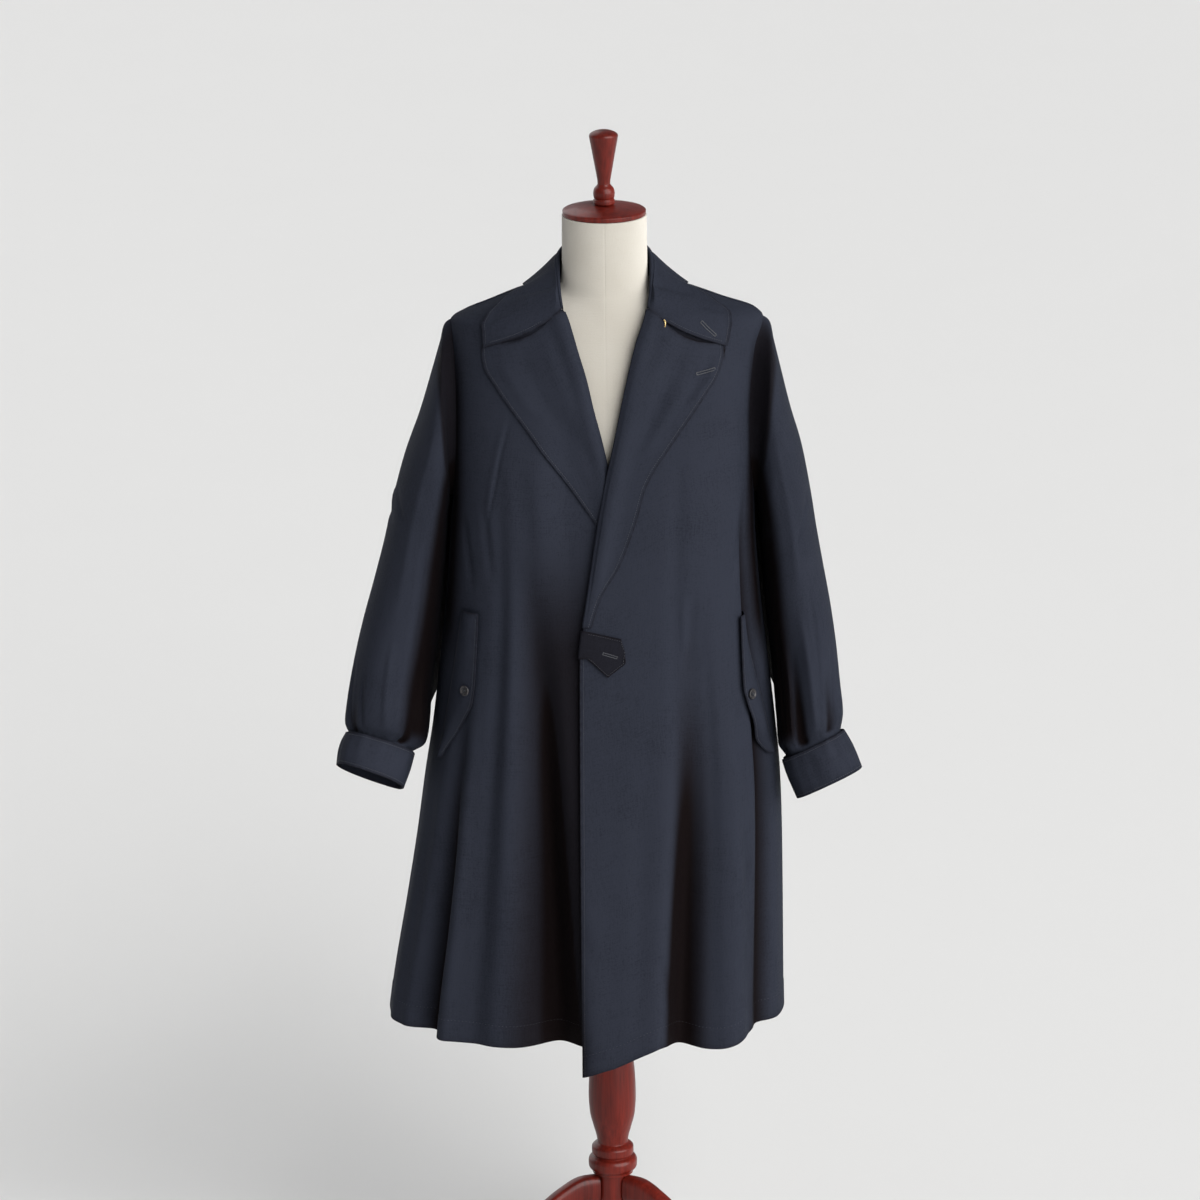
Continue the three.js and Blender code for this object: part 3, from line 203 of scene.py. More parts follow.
# Soft swells of the lapels: how far down from the collar, how far out from the roll, sizes.
LEFT_RUMPLES = table(
    "down across end_down end_across width depth",
    (0.10, 0.86, 0.27, 0.80, 6, -2.6), (0.13, 0.97, 0.24, 0.93, 5, 1.8),
    (0.05, 0.30, 0.42, 0.26, 13, 2.6), (0.10, 0.52, 0.40, 0.50, 11, -2.2),
    (0.45, 0.3, 0.75, 0.35, 12, 1.6), (0.2, 0.72, 0.45, 0.62, 10, 1.4),
)
RIGHT_RUMPLES = table(
    "down across end_down end_across width depth",
    (0.10, 0.28, 0.50, 0.24, 14, 2.2), (0.12, 0.56, 0.40, 0.55, 13, -1.6),
    (0.5, 0.4, 0.8, 0.42, 12, 1.4), (0.16, 0.8, 0.36, 0.78, 10, 1.2),
)
COLLAR = table(
    "fold_x fold_y fold_z edge_angle edge_z",
    (58.5, -69, 1468.5, 49.8, 1412), (61.5, -52, 1484, 52.5, 1438),
    (63.5, -28, 1504, 66, 1464), (64, -2, 1521, 90, 1482), (54, 36, 1533, 121, 1477),
    (29, 63, 1538, 150, 1470), (0, 72, 1540, 180, 1466),
)
TAB = table(
    "x top bottom", (-30, 1030.5, 993), (-20, 1028.6, 984.5), (-10, 1026.2, 974.5),
    (-1, 1024, 966), (8, 1021.8, 973), (17.6, 1019.6, 980.6), (23, 1000, 985),
)
RIGHT_SLEEVE = table(
    "out_x out_z in_x in_z mid_y half_y lean",
    (229, 1402, 217.5, 1181, 8, 80, 0), (239, 1368, 219.5, 1170, 8, 85, 0),
    (258, 1305, 221.5, 1147, 8, 89, 0), (280.5, 1243, 223.5, 1114, 8, 89, 0),
    (296.5, 1186, 227.5, 1074, 6, 87, 2), (311, 1122, 231.5, 1034, 3, 86, 4),
    (327, 1063, 237, 989, -2, 85, 6), (343, 1007, 243, 944, -8, 84, 9),
    (356, 953, 249, 904, -18, 82, 13), (366, 900, 251, 869, -32, 76, 18),
    (369.5, 871, 257, 839, -46, 62, 23), (361, 851, 280.5, 827, -57, 38, 26),
)
LEFT_SLEEVE = table(
    "out_x out_z in_x in_z mid_y half_y lean",
    (233, 1402, 209.5, 1181, 8, 80, 0), (241, 1368, 211.5, 1170, 8, 85, 0),
    (256, 1306, 213.5, 1147, 8, 89, 0), (271.5, 1252, 215.5, 1114, 8, 89, 0),
    (283.5, 1190, 218.5, 1074, 7, 87, 1), (292, 1135, 221, 1034, 5, 86, 2),
    (302, 1078, 224, 989, 3, 84, 4), (312, 1022, 228, 944, -4, 82, 6),
    (319, 971, 231, 905, -18, 80, 8), (324, 920, 233.5, 868, -32, 71, 10),
    (328, 878, 236, 834, -42, 59, 12), (324.5, 852, 249.5, 812, -46, 40, 14),
)
RIGHT_CUFF = table(
    "out_x out_z in_x in_z mid_y half_y lean",
    (368, 857, 272.5, 826, -57, 47, 26), (375, 837, 280, 805, -68, 47, 27),
    (381, 818, 288, 783, -79, 46, 27),
)
LEFT_CUFF = table(
    "out_x out_z in_x in_z mid_y half_y lean",
    (329, 852, 244.5, 810, -46, 45, 14), (341.5, 826, 254, 784, -53, 45, 14),
    (354, 801, 264, 757, -60, 44, 14),
)
# Pleats that run into the cuffs: angle round the arm from its outer edge to the front.
RIGHT_PLEATS = table(
    "angle start width depth", (38, 0.62, 15, 7), (128, 0.5, 15, 11), (212, 0.66, 15, 8),
    (262, 0.55, 16, 9), (318, 0.68, 15, 7),
)
LEFT_PLEATS = table(
    "angle start width depth", (55, 0.6, 14, 8), (108, 0.42, 15, 12), (160, 0.7, 14, 6),
    (225, 0.6, 16, 9), (290, 0.58, 16, 8),
)
# Creases of the sleeves: from one angle and share of the length to another.
RIGHT_ARM_CREASES = table(
    "start_angle start end_angle end width depth",
    (8, 0.33, 60, 0.36, 8, -3.0), (-20, 0.40, 36, 0.395, 7, -2.4), (-30, 0.36, 20, 0.375, 7, 2.2),
    (70, 0.10, 78, 0.55, 12, 1.8), (100, 0.30, 112, 0.72, 9, -3.0), (84, 0.62, 92, 0.95, 6, 2.6),
    (50, 0.74, 62, 0.96, 6, -3.0), (20, 0.70, 30, 0.95, 7, -2.6), (140, 0.66, 150, 0.95, 7, 2.4),
    (112, 0.74, 116, 0.97, 5, 3.0), (230, 0.32, 190, 0.42, 12, -3.0),
    (250, 0.4, 205, 0.5, 11, -2.6), (300, 0.3, 320, 0.6, 12, -2.4),
    (280, 0.7, 285, 0.96, 8, 2.6), (340, 0.74, 346, 0.95, 7, -2.4),
)
LEFT_ARM_CREASES = table(
    "start_angle start end_angle end width depth",
    (80, 0.12, 84, 0.52, 12, 2.0), (66, 0.5, 74, 0.9, 10, -2.4), (88, 0.56, 84, 0.95, 7, 3.0),
    (120, 0.62, 122, 0.95, 6, 3.0), (38, 0.7, 44, 0.95, 7, -2.6), (20, 0.74, 28, 0.96, 6, 2.0),
    (134, 0.5, 140, 0.9, 8, -2.4), (30, 0.34, 82, 0.40, 9, -2.0),
    (240, 0.32, 196, 0.44, 12, -3.0), (260, 0.42, 214, 0.5, 11, -2.6),
    (310, 0.32, 326, 0.62, 12, -2.2), (270, 0.7, 274, 0.96, 8, 2.6),
    (250, 0.66, 250, 0.94, 7, -2.4), (340, 0.72, 344, 0.95, 7, -2.2),
)
RIGHT_FLAP = table(
    "sewn free z", (-59.2, -46.8, 1046), (-61, -46.6, 1000), (-63, -46.3, 945),
    (-64.2, -46.8, 919), (-66, -54.4, 875), (-68, -63.6, 829),
)
LEFT_FLAP = table(
    "sewn free z", (65, 52.8, 1036), (66.5, 51.6, 990), (68.5, 50.6, 938),
    (69.5, 52, 913), (71, 59, 866), (73, 68.5, 826),
)
NOTCH_LINE = table("x z", (81, 1444), (164, 1413))
FLAP_STAND = {"right": 2, "left": 4}
FLAP_ARCH = 5
FLAP_SEAT = {"right": (0.47, 0.74), "left": (0.52, 0.76)}
CUFF_OPENING = {"right": 222, "left": 140}
EDGES = {"right": RIGHT_EDGE, "left": LEFT_EDGE}
LAPELS = {"right": RIGHT_LAPEL, "left": LEFT_LAPEL}
RUMPLES = {"right": RIGHT_RUMPLES, "left": LEFT_RUMPLES}
SLEEVES = {"right": RIGHT_SLEEVE, "left": LEFT_SLEEVE}
PLEATS = {"right": RIGHT_PLEATS, "left": LEFT_PLEATS}
ARM_CREASES = {"right": RIGHT_ARM_CREASES, "left": LEFT_ARM_CREASES}
CUFFS = {"right": RIGHT_CUFF, "left": LEFT_CUFF}
FLAPS = {"right": RIGHT_FLAP, "left": LEFT_FLAP}
# Worked buttonholes: the two ends of each slit on the front.
BUTTONHOLES = table(
    "start_x start_z end_x end_z lift",
    (129.7, 1444.7, 148.7, 1426.9, 6.0), (123.4, 1380.4, 148.2, 1384.5, 3.1),
    (-7.4, 1000, 11.8, 994, 3.5),
)
BUTTON = table(
    "r z", (1.5, 0), (6.2, 0), (7.0, 0.4), (BUTTON_RADIUS, 1.2), (7.3, 2.1), (6.7, 2.75),
    (6.0, 2.8), (5.4, 2.5), (4.9, 2.0), (4.2, 1.75), (2.5, 1.7), (0.3, 1.7),
)
HOOK = table(
    "x z out", (77, 1447.6, 15.6), (77.8, 1448.4, 16.4), (78.6, 1446.6, 16.6),
    (79.2, 1443.6, 16.2), (79.2, 1441.4, 15.2), (78.6, 1440.6, 14.4),
)

# ---- Tables of the form and the stand ----
FORM = table(
    "z half front back power",
    (757, 146, 98, 104, 2.2), (764, 152, 103, 110, 2.2), (820, 165, 110, 124, 2.3),
    (900, 171, 109, 127, 2.3), (1000, 160, 100, 114, 2.3), (1080, 153, 97, 102, 2.3),
    (1180, 168, 107, 108, 2.4), (1270, 184, 109, 117, 2.4), (1340, 191, 103, 117, 2.3),
    (1395, 194, 91, 104, 2.0), (1425, 194, 80, 90, 1.75), (1443, 178, 74, 82, 1.65),
    (1458, 134, 69.5, 76, 1.6), (1472, 86, 65.5, 70, 1.65), (1484, 66, 61.5, 66, 1.8),
    (1493, 61, 60.3, 63, 1.95), (1503, 60, 59.3, 60.5, 2), (1520, 59, 58.8, 59, 2),
    (1583.5, 58.5, 58.5, 58.5, 2),
)
COLUMN = table(
    "z r", (112, 19), (118, HUB_RADIUS), (168, HUB_RADIUS), (169, 29), (172.5, 29.4),
    (174, 31), (179, 34.6), (187, 35), (193, 32.4), (195.5, 27.5), (200, 30), (208, 30),
    (213, 26), (216, 22), (224, 23), (240, 27.2), (262, 32.4), (288, 34), (318, 33),
    (360, 29), (420, 22), (480, 17), (500, 16.5), (504, 20), (512, 20), (516, 14), (756, 14),
)
CAP = table(
    "z r", (1584, 56.2), (1585, 57.4), (1589.5, 57.4), (1591, 56), (1593, 49),
    (1595.6, 36), (1597, 22), (1597.4, 8),
)
FINIAL = table(
    "z r", (1597.8, 13), (1600, 14.7), (1604, 14.7), (1606, 13.4), (1608, 14.2),
    (1614, 14.9), (1620, 13.6), (1624.5, 10), (1627, 8.8), (1631, 9), (1660, 14),
    (1690, 19.4), (1693.5, 19.9), (1696, 19.3), (1699.5, 14), (1701.5, 7), (1702, 1.5),
)
LEG = table(
    "reach z tall wide", (24.8, 147, 20, 12), (46, 148, 19.5, 12.5), (78, 137, 17.5, 12),
    (114, 115, 15, 11.5), (150, 85, 13.5, 11), (186, 53, 12, 11), (216, 30, 11.5, 11.5),
    (240, 16, 12, 12.5),
)
LEG_FOOT = {"reach": 250, "half": 15}


# ---- Curves and small helpers ----
def mix(a, b, t):
    return a + (b - a) * t


def smooth(t):
    t = np.clip(t, 0, 1)
    return t * t * (3 - 2 * t)


def bump(t):
    """A soft hump of height 1 at 0 that ends at -2 and 2."""
    return np.where(np.abs(t) < 2, np.cos(np.pi / 4 * t) ** 4, 0)


def hermite(u, a, b, leave, arrive):
    """A curve from a to b with its slopes at both ends."""
    return ((2 * u**3 - 3 * u * u + 1) * a + (3 * u * u - 2 * u**3) * b
            + (u**3 - 2 * u * u + u) * leave + (u**3 - u * u) * arrive)


def along(rows, key, at, column):
    """A smooth value of one column of a table, with no overshoot between its rows."""
    knots, values = rows[key], rows[column]
    if knots[0] > knots[-1]:
        knots, values = knots[::-1], values[::-1]
    spans = np.diff(knots)
    rises = np.diff(values) / spans
    before, after = rises[:-1], rises[1:]
    same = before * after > 0
    inner = np.where(same, 2 * before * after / np.where(same, before + after, 1), 0)
    slopes = np.concatenate([rises[:1], inner, rises[-1:]])
    at = np.clip(at, knots[0], knots[-1])
    i = np.clip(np.searchsorted(knots, at, side="right") - 1, 0, len(knots) - 2)
    h = spans[i]
    return hermite((at - knots[i]) / h, values[i], values[i + 1], h * slopes[i], h * slopes[i + 1])


def row_at(rows, share):
    """Every column of a table at a share of the way down its rows."""
    at = np.asarray(share) * (len(rows["index"]) - 1)
    return {name: along(rows, "index", at, name) for name in rows if name != "index"}


def points(x, y, z):
    return np.stack(np.broadcast_arrays(x, y, z), -1).astype(float)


def apart(p):
    """The x, y and z of an array of points."""
    return p[..., 0], p[..., 1], p[..., 2]


def unit(v):
    return v / np.maximum(np.linalg.norm(v, axis=-1, keepdims=True), 1e-9)


def mark(grid, fill=0.0):
    """One value for each point of a grid."""
    return np.full(grid.shape[:2], fill)


def crease(u, v, start, end, width):
    """A soft trough from one point to another of a cloth laid flat, tapered at its ends."""
    (u0, v0), (u1, v1) = start, end
    length = math.hypot(u1 - u0, v1 - v0)
    t = ((u - u0) * (u1 - u0) + (v - v0) * (v1 - v0)) / length**2
    off = ((v - v0) * (u1 - u0) - (u - u0) * (v1 - v0)) / length
    ends = smooth((t + 0.1) / 0.4) * smooth((1.1 - t) / 0.4)
    return ends * bump(off / width)


def creases_of(rows, angle, level, degree, height=1):
    """All the creases of a table, on cloth of so many millimetres a degree and a step of level."""
    total = 0
    for row in rows_of(rows):
        start, end = ((row[f"{k}_angle"] * degree, row[k] * height) for k in ("start", "end"))
        wave = crease(angle * degree, level * height, start, end, row["width"])
        total = total + row["depth"] * wave
    return total


# ---- The coat's body as a surface of angle and height ----
def section(z):
    """The half widths, half depths and roundness of the body at a height."""
    return {name: along(BODY, "z", z, name) for name in BODY if name not in ("z", "index")}


def shares(x, y, s):
    """How far out a point lies, as shares of the section's half width and half depth."""
    wide = np.abs(x) / np.where(x < 0, s["right"], s["left"])
    return wide, np.abs(y) / np.where(y < 0, s["front"], s["back"])


def body_base(angle, z):
    s = section(z)
    sine, cosine = np.sin(np.radians(angle)), np.cos(np.radians(angle))
    x = np.where(sine < 0, -s["right"], s["left"]) * np.abs(sine) ** (2 / s["power"])
    y = np.where(cosine > 0, -s["front"], s["back"]) * np.abs(cosine) ** (2 / s["power"])
    return points(x, y, z)


def body_level(x, y, z):
    """1 on the body's surface, less inside it and more outside."""
    s = section(z)
    wide, deep = shares(x, y, s)
    return wide ** s["power"] + deep ** s["power"]


def body_normal(p):
    step = 0.5
    x, y, z = apart(p)
    slope_x = body_level(x + step, y, z) - body_level(x - step, y, z)
    slope_y = body_level(x, y + step, z) - body_level(x, y - step, z)
    slope_z = body_level(x, y, z + step) - body_level(x, y, z - step)
    return unit(points(slope_x * (np.abs(x) >= step), slope_y * (np.abs(y) >= step), slope_z))


def folds_of(rows, turn, z):
    total = 0
    for fold in rows_of(rows):
        down = np.clip((fold["top"] - z) / (fold["top"] - HEM_Z), 0, 1)
        centre = mix(fold["top_angle"], fold["hem_angle"], down)
        width = mix(fold["top_width"], fold["hem_width"], down)
        grown = smooth((fold["top"] - z) / (fold["top"] - fold["full"]))
        total = total + fold["depth"] * grown * bump((turn - centre) / width)
    return total


def fold_depth(angle, z):
    turn = np.where(angle < -91, angle + 360, angle)
    folds = folds_of(FOLDS, turn, z) + folds_of(SOFT_FOLDS, turn, z)
    return folds + creases_of(CREASES, turn, z, DEGREE_OF_BODY)


def on_coat(angle, z, out=0.0):
    """Points of the coat's outer face, moved out by a distance."""
    angle, z, out = np.broadcast_arrays(np.asarray(angle, float), z, out)
    p = body_base(angle, z)
    return p + body_normal(p) * (fold_depth(angle, z) + out)[..., None]


def angle_at(x, z):
    """The angle of a point of the front from its distance to the side."""
    s = section(z)
    share = np.clip(shares(x, 0, s)[0], 0, 1)
    return np.degrees(np.arcsin(share ** (s["power"] / 2))) * np.sign(x)


def angle_of(p):
    """The angle of any point round the body at its own height."""
    x, y, z = apart(p)
    s = section(z)
    wide, deep = (share ** (s["power"] / 2) for share in shares(x, y, s))
    return np.degrees(np.arctan2(wide * np.sign(x), -deep * np.sign(y)))


def lifted_off(p, out):
    """Points kept where they are, or lifted to stand clear of the coat."""
    surface = on_coat(angle_of(p), p[..., 2], out)
    away = np.hypot(p[..., 0], p[..., 1]) - np.hypot(surface[..., 0], surface[..., 1])
    near = np.where(body_level(*apart(p)) > 1.6, 0, smooth(1 - away / 8))
    return mix(p, surface, near[..., None])


# ---- Meshes ----
SEWN = {}              # the grids of the pieces made so far, for the stitches


def grid_normals(grid, loop=False):
    """Unit normals of a grid of points: along its columns crossed with along its rows."""
    up = np.gradient(grid, axis=0)
    if loop:
        across = np.roll(grid, -1, 1) - np.roll(grid, 1, 1)
    else:
        across = np.gradient(grid, axis=1)
    return unit(np.cross(across, up))


def arc_lengths(grid, axis):
    steps = np.linalg.norm(np.diff(grid, axis=axis), axis=-1)
    start = np.zeros_like(np.take(steps, [0], axis))
    return np.concatenate([start, np.cumsum(steps, axis)], axis)


def quads(a, b, c, d):
    return np.stack([a.ravel(), b.ravel(), c.ravel(), d.ravel()], 1)


def facing_out(vertices, faces):
    """The faces, turned round where their solid would be inside out."""
    a, b, c, d = (vertices[faces[:, k]] for k in range(4))
    volume = np.einsum("ij,ij->", a, np.cross(b, c)) + np.einsum("ij,ij->", a, np.cross(c, d))
    return faces if volume > 0 else faces[:, ::-1]


def placed(name, data):
    """A new object in the scene."""
    made = bpy.data.objects.new(name, data)
    bpy.context.scene.collection.objects.link(made)
    return made


def declare(made, node=None):
    """Hangs an object on the root body and hides the solid that it stands for."""
    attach(made, "root")
    if node:
        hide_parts(node)


def make_mesh(name, vertices, faces, finish, uv=None, marks=None, sharp=50):
    """An object of a mesh given in millimetres, with smooth faces and crisp edges."""
    mesh = bpy.data.meshes.new(name)
    mesh.from_pydata((vertices * MM + AXIS).tolist(), [], [list(face) for face in faces])
    mesh.polygons.foreach_set("use_smooth", np.ones(len(mesh.polygons), bool))
    corners = np.empty(len(mesh.loops), int)
    mesh.loops.foreach_get("vertex_index", corners)
    if uv is not None:
        layer = mesh.uv_layers.new(name="cut")
        layer.uv.foreach_set("vector", (uv[corners] * MM).astype(np.float32).ravel())
    for label, values in (marks or {}).items():
        mesh.attributes.new(label, "FLOAT", "POINT").data.foreach_set(
            "value", values.astype(np.float32))
    mesh.set_sharp_from_angle(angle=math.radians(sharp))
    mesh.materials.append(finish)
    mesh.validate()
    return placed(name, mesh)


def cloth_wall(grid, thickness, loop=False, turned=1, flat=None, edge=0.32):
    """A wall of cloth with rounded edges: vertices, faces and each vertex's point of the grid."""
    rows, columns = grid.shape[:2]
    normals = grid_normals(grid, loop)
    if flat is not None:
        normals[..., 1] = np.where(flat, 0, normals[..., 1])
        normals = unit(normals)
    inner = grid - normals * thickness * turned
    at = np.arange(rows * columns).reshape(rows, columns)
    wide = np.concatenate([at, at[:, :1]], 1) if loop else at
    a, b, c, d = wide[:-1, :-1], wide[:-1, 1:], wide[1:, 1:], wide[1:, :-1]
    count = rows * columns
    faces = [quads(a, b, c, d), quads(a, d, c, b) + count]
    if loop:
        rims = [(at[0], at[1]), (at[-1, ::-1], at[-2, ::-1])]
    else:
        beside = np.pad(at[1:-1, 1:-1], 1, "edge")
        walk = [(0, slice(None, -1)), (slice(None, -1), -1),
                (-1, slice(None, 0, -1)), (slice(None, 0, -1), 0)]
        rims = [(np.concatenate([at[k] for k in walk]), np.concatenate([beside[k] for k in walk]))]
    outside, inside = grid.reshape(-1, 3), inner.reshape(-1, 3)
    vertices, source = [outside, inside], [np.arange(count), np.arange(count)]
    start = 2 * count
    for rim, next_in in rims:
        away = unit(outside[rim] - outside[next_in])
        vertices.append((outside[rim] + inside[rim]) / 2 + away * thickness * edge)
        middle = start + np.arange(len(rim))
        after, middle_after = np.roll(rim, -1), np.roll(middle, -1)
        faces += [quads(after, rim, middle, middle_after),
                  quads(middle_after, middle, rim + count, after + count)]
        start += len(rim)
        source.append(rim)
    vertices = np.concatenate(vertices)
    return vertices, facing_out(vertices, np.concatenate(faces)), np.concatenate(source)


def cut_lengths(grid):
    """Where each point of a grid lies on the cloth before it was sewn."""
    across = arc_lengths(grid, 1)
    middle = across[:, across.shape[1] // 2][:, None]
    return np.stack([across - middle, arc_lengths(grid, 0)], -1).reshape(-1, 2)


def edge_nearness(grid, sides, reach=3.0):
    """1 at the named edges of a grid, fading to 0 a little way in."""
    across, down = arc_lengths(grid, 1), arc_lengths(grid, 0)
    gaps = {"left": across, "right": across[:, -1:] - across,
            "top": down, "bottom": down[-1:] - down}
    nearest = np.min([gaps[side] for side in sides], 0)
    return np.exp(-nearest / reach)


def cloth_piece(name, grid, thickness, finish, cut, loop=False, turned=1, flat=None,
                shaded_edges=("left", "right", "top", "bottom"), edge=0.32, folded=None):
    """A sewn piece on its solid's form."""
    vertices, faces, source = cloth_wall(grid, thickness, loop, turned, flat, edge)
    # The two marks set how much painted shade the cloth takes: along the named edges, and where
    # the given mark puts it.
    near = edge_nearness(grid, shaded_edges) if shaded_edges else mark(grid)
    deep = mark(grid) if folded is None else folded
    marks = {"shaded_edges": near.ravel()[source], "folded": np.clip(deep, 0, 1).ravel()[source]}
    made = make_mesh(name, vertices, faces, finish, cut_lengths(grid)[source], marks)
    closed = np.concatenate([grid, grid[:, :1]], 1) if loop else grid
    width = arc_lengths(closed, 1)[:, -1].max() * MM
    length = arc_lengths(closed, 0)[-1].max() * MM
    declare(made, cut["node"])
    SEWN[name] = grid


# ---- Back and fronts ----
def rows_up(hem_depth):
    """Heights of a panel's rows as shares of the way from its hem to its neck."""
    step = hem_depth + np.array([-2, -0.8, 0.8, 2])
    low = np.concatenate([[0, 1, 3, 7, 13, 21], step])
    skirt = np.arange(hem_depth + 8, ARMPIT_Z - HEM_BACK_Z - 2, 8.0)
    turn = np.arange(61) * np.pi / 60
    armhole = ARMHOLE_MIDDLE - ARMHOLE_HALF * np.cos(turn) - HEM_BACK_Z
    yoke = np.linspace(SHOULDER_TIP_Z, NECK_POINT_Z, 15)[1:] - HEM_BACK_Z
    return np.concatenate([low, skirt, armhole, yoke]) / (NECK_POINT_Z - HEM_BACK_Z)


def even_columns(make, count, seams=()):
    """Column positions from 0 to 1 that lie evenly over the cloth, closer at a seam."""
    fine = np.linspace(0, 1, 900)
    lengths = arc_lengths(make(fine), 1).mean(0)
    spots = np.linspace(0, lengths[-1], count)
    for seam in seams:
        centre = np.interp(seam, fine, lengths)
        spots = spots[np.abs(spots - centre) > 3.2]
        spots = np.concatenate([spots, centre + SEAM_STEPS])
    return np.interp(np.sort(spots), lengths, fine)


def armhole_bite(z):
    level = np.clip(np.abs(z - ARMHOLE_MIDDLE) / ARMHOLE_HALF, 0, 1)
    return np.sqrt(1 - level * level)


def overlap_recess(x, z):
    return OVERLAP_RECESS * smooth((x + 100) / 50) * smooth((1345 - z) / 90)


def hem_turning(z, hem, hem_depth):
    """The turned-up hem makes the cloth a little thicker below its stitching."""
    return 0.55 * smooth((hem + hem_depth - z) / 1.4 + 0.5)


def seam_groove(distance):
    """A pressed seam: a narrow groove between two low swells."""
    return 0.35 * np.exp(-((np.abs(distance) - 4) / 3) ** 2) - 0.9 * np.exp(-(distance / 0.9) ** 2)


def painted_shade_marks(grid, side=0):
    """How much painted shade each point takes: in deep folds, beside a sleeve, under the lap and
    in the notch.
    """
    angle, x, z = angle_of(grid), np.abs(grid[..., 0]), grid[..., 2]
    # Painted shade in the deep folds.
    marks = smooth((-fold_depth(angle, z) - 2) / 17)
    reach = 18 if side < 0 else 9
    # Painted shade in the hollow beside the sleeve.
    hollow = smooth((1440 - z) / 120) * smooth((z - 940) / 90)
    marks = np.maximum(marks, hollow * smooth(1 - bite_distance(angle) / reach))
    # Painted shade on the right front along its edge, under the left front.
    if side < 0:
        marks = np.maximum(marks, 0.8 * smooth((angle + 29) / 9) * smooth((1190 - z) / 220))
    # Painted shade in the opening below the collar at the notch.
    if side:
        notch = bump((z - np.interp(x, NOTCH_LINE["x"], NOTCH_LINE["z"]) + 8) / 9)
        marks = np.maximum(marks, notch * (x < NOTCH_LINE["x"][1]) * (z > 1380))
    return marks


def bite_distance(angle):
    """Degrees round the body from the front and back of the sleeve."""
    turn = (angle + 360) % 360
    return np.minimum(np.abs(turn - 76), np.abs(turn - 284))


def beside_seam(grid, columns):
    """True where an outer column of a panel runs along its side or shoulder seam."""
    seam = mark(grid, False)
    for column in columns:
        seam[:, column] = armhole_bite(grid[:, column, 2]) < 1e-3
    return seam


def front_grid(word, hem_depth):
    side, edge = SIDES[word], EDGES[word]

    def make(across):
        across = np.asarray(across)[None, :]
        share = rows_up(hem_depth)[:, None]
        neck_z = mix(NECK_FRONT_Z[word], NECK_POINT_Z, across)
        corner = FRONT_CORNER_DROP * np.clip(1 - across / 0.21, 0, 1) ** 1.2 if side > 0 else 0
        dip = 11 * bump((across - 0.42) / 0.13) if side > 0 else 0
        hem = mix(HEM_Z, HEM_BACK_Z, smooth((across - 0.55) / 0.2)) - corner - dip
        z = mix(hem, neck_z, share)
        start = angle_at(along(edge, "z", z, "x"), z)
        end = side * (90 - ARMHOLE_FRONT * armhole_bite(z))
        angle = mix(start, end, across)
        x = body_base(angle, z)[..., 0]
        under = overlap_recess(x, z) if side < 0 else 0
        out = hem_turning(z, hem, hem_depth) - under
        if side < 0:
            out = out + dart_groove(angle, z)
        p = on_coat(angle, z, out)
        at_seam = (across > 1 - 1e-6) & (armhole_bite(z) < 1e-3)
        p[..., 1] -= np.where(at_seam, SEAM / 2, 0)
        return p

    grid = make(even_columns(make, 130))
    return grid, beside_seam(grid, [-1])


def dart_groove(angle, z):
    """The stitched dart of the right front: a crease with a soft pinch beside it."""
    around = angle * DEGREE_OF_BODY
    top, low = ((end * DEGREE_OF_BODY, height) for end, height in (DART_TOP, DART_LOW))
    return crease(around + 9, z, top, low, 8.0) - 1.4 * crease(around, z, top, low, 4.0)


def back_grid(hem_depth):
    def make(across):
        across = np.asarray(across)[None, :]
        share = rows_up(hem_depth)[:, None]
        z = mix(HEM_BACK_Z, mix(NECK_POINT_Z, NECK_BACK_Z, np.sin(np.pi * across)), share)
        bite = ARMHOLE_BACK * armhole_bite(z)
        angle = mix(90 + bite, 270 - bite, across)
        middle = body_base(angle, z)[..., 0]
        out = hem_turning(z, HEM_BACK_Z, hem_depth) + seam_groove(middle)
        p = on_coat(angle, z, out)
        at_seam = (np.abs(across - 0.5) > 0.5 - 1e-6) & (armhole_bite(z) < 1e-3)
        p[..., 1] += np.where(at_seam, SEAM / 2, 0)
        return p

    grid = make(even_columns(make, 190, seams=[0.5]))
    return grid, beside_seam(grid, [0, -1])


# ---- Lapels, collar and tab ----
def collar_bow(t):
    return COLLAR_BOW * np.sin(np.pi * np.clip(t, 0, 1) ** 0.6)


def edge_roll(word, z, stand_off, thickness, cloth, steps):
    """Points that wrap round a front's free edge, from its inside to its outside."""
    side = SIDES[word]
    x = along(EDGES[word], "z", z, "x")[:, None]
    turn = np.pi * np.linspace(0.08, 0.95, steps)[None, :]
    recess = overlap_recess(x, z[:, None]) if side < 0 else 0
    out = -cloth / 2 - np.cos(turn) * (cloth / 2 + LAY + thickness) - recess
    x_out = x - side * stand_off * np.sin(turn)
    return on_coat(angle_at(x_out, z[:, None]), z[:, None], out)


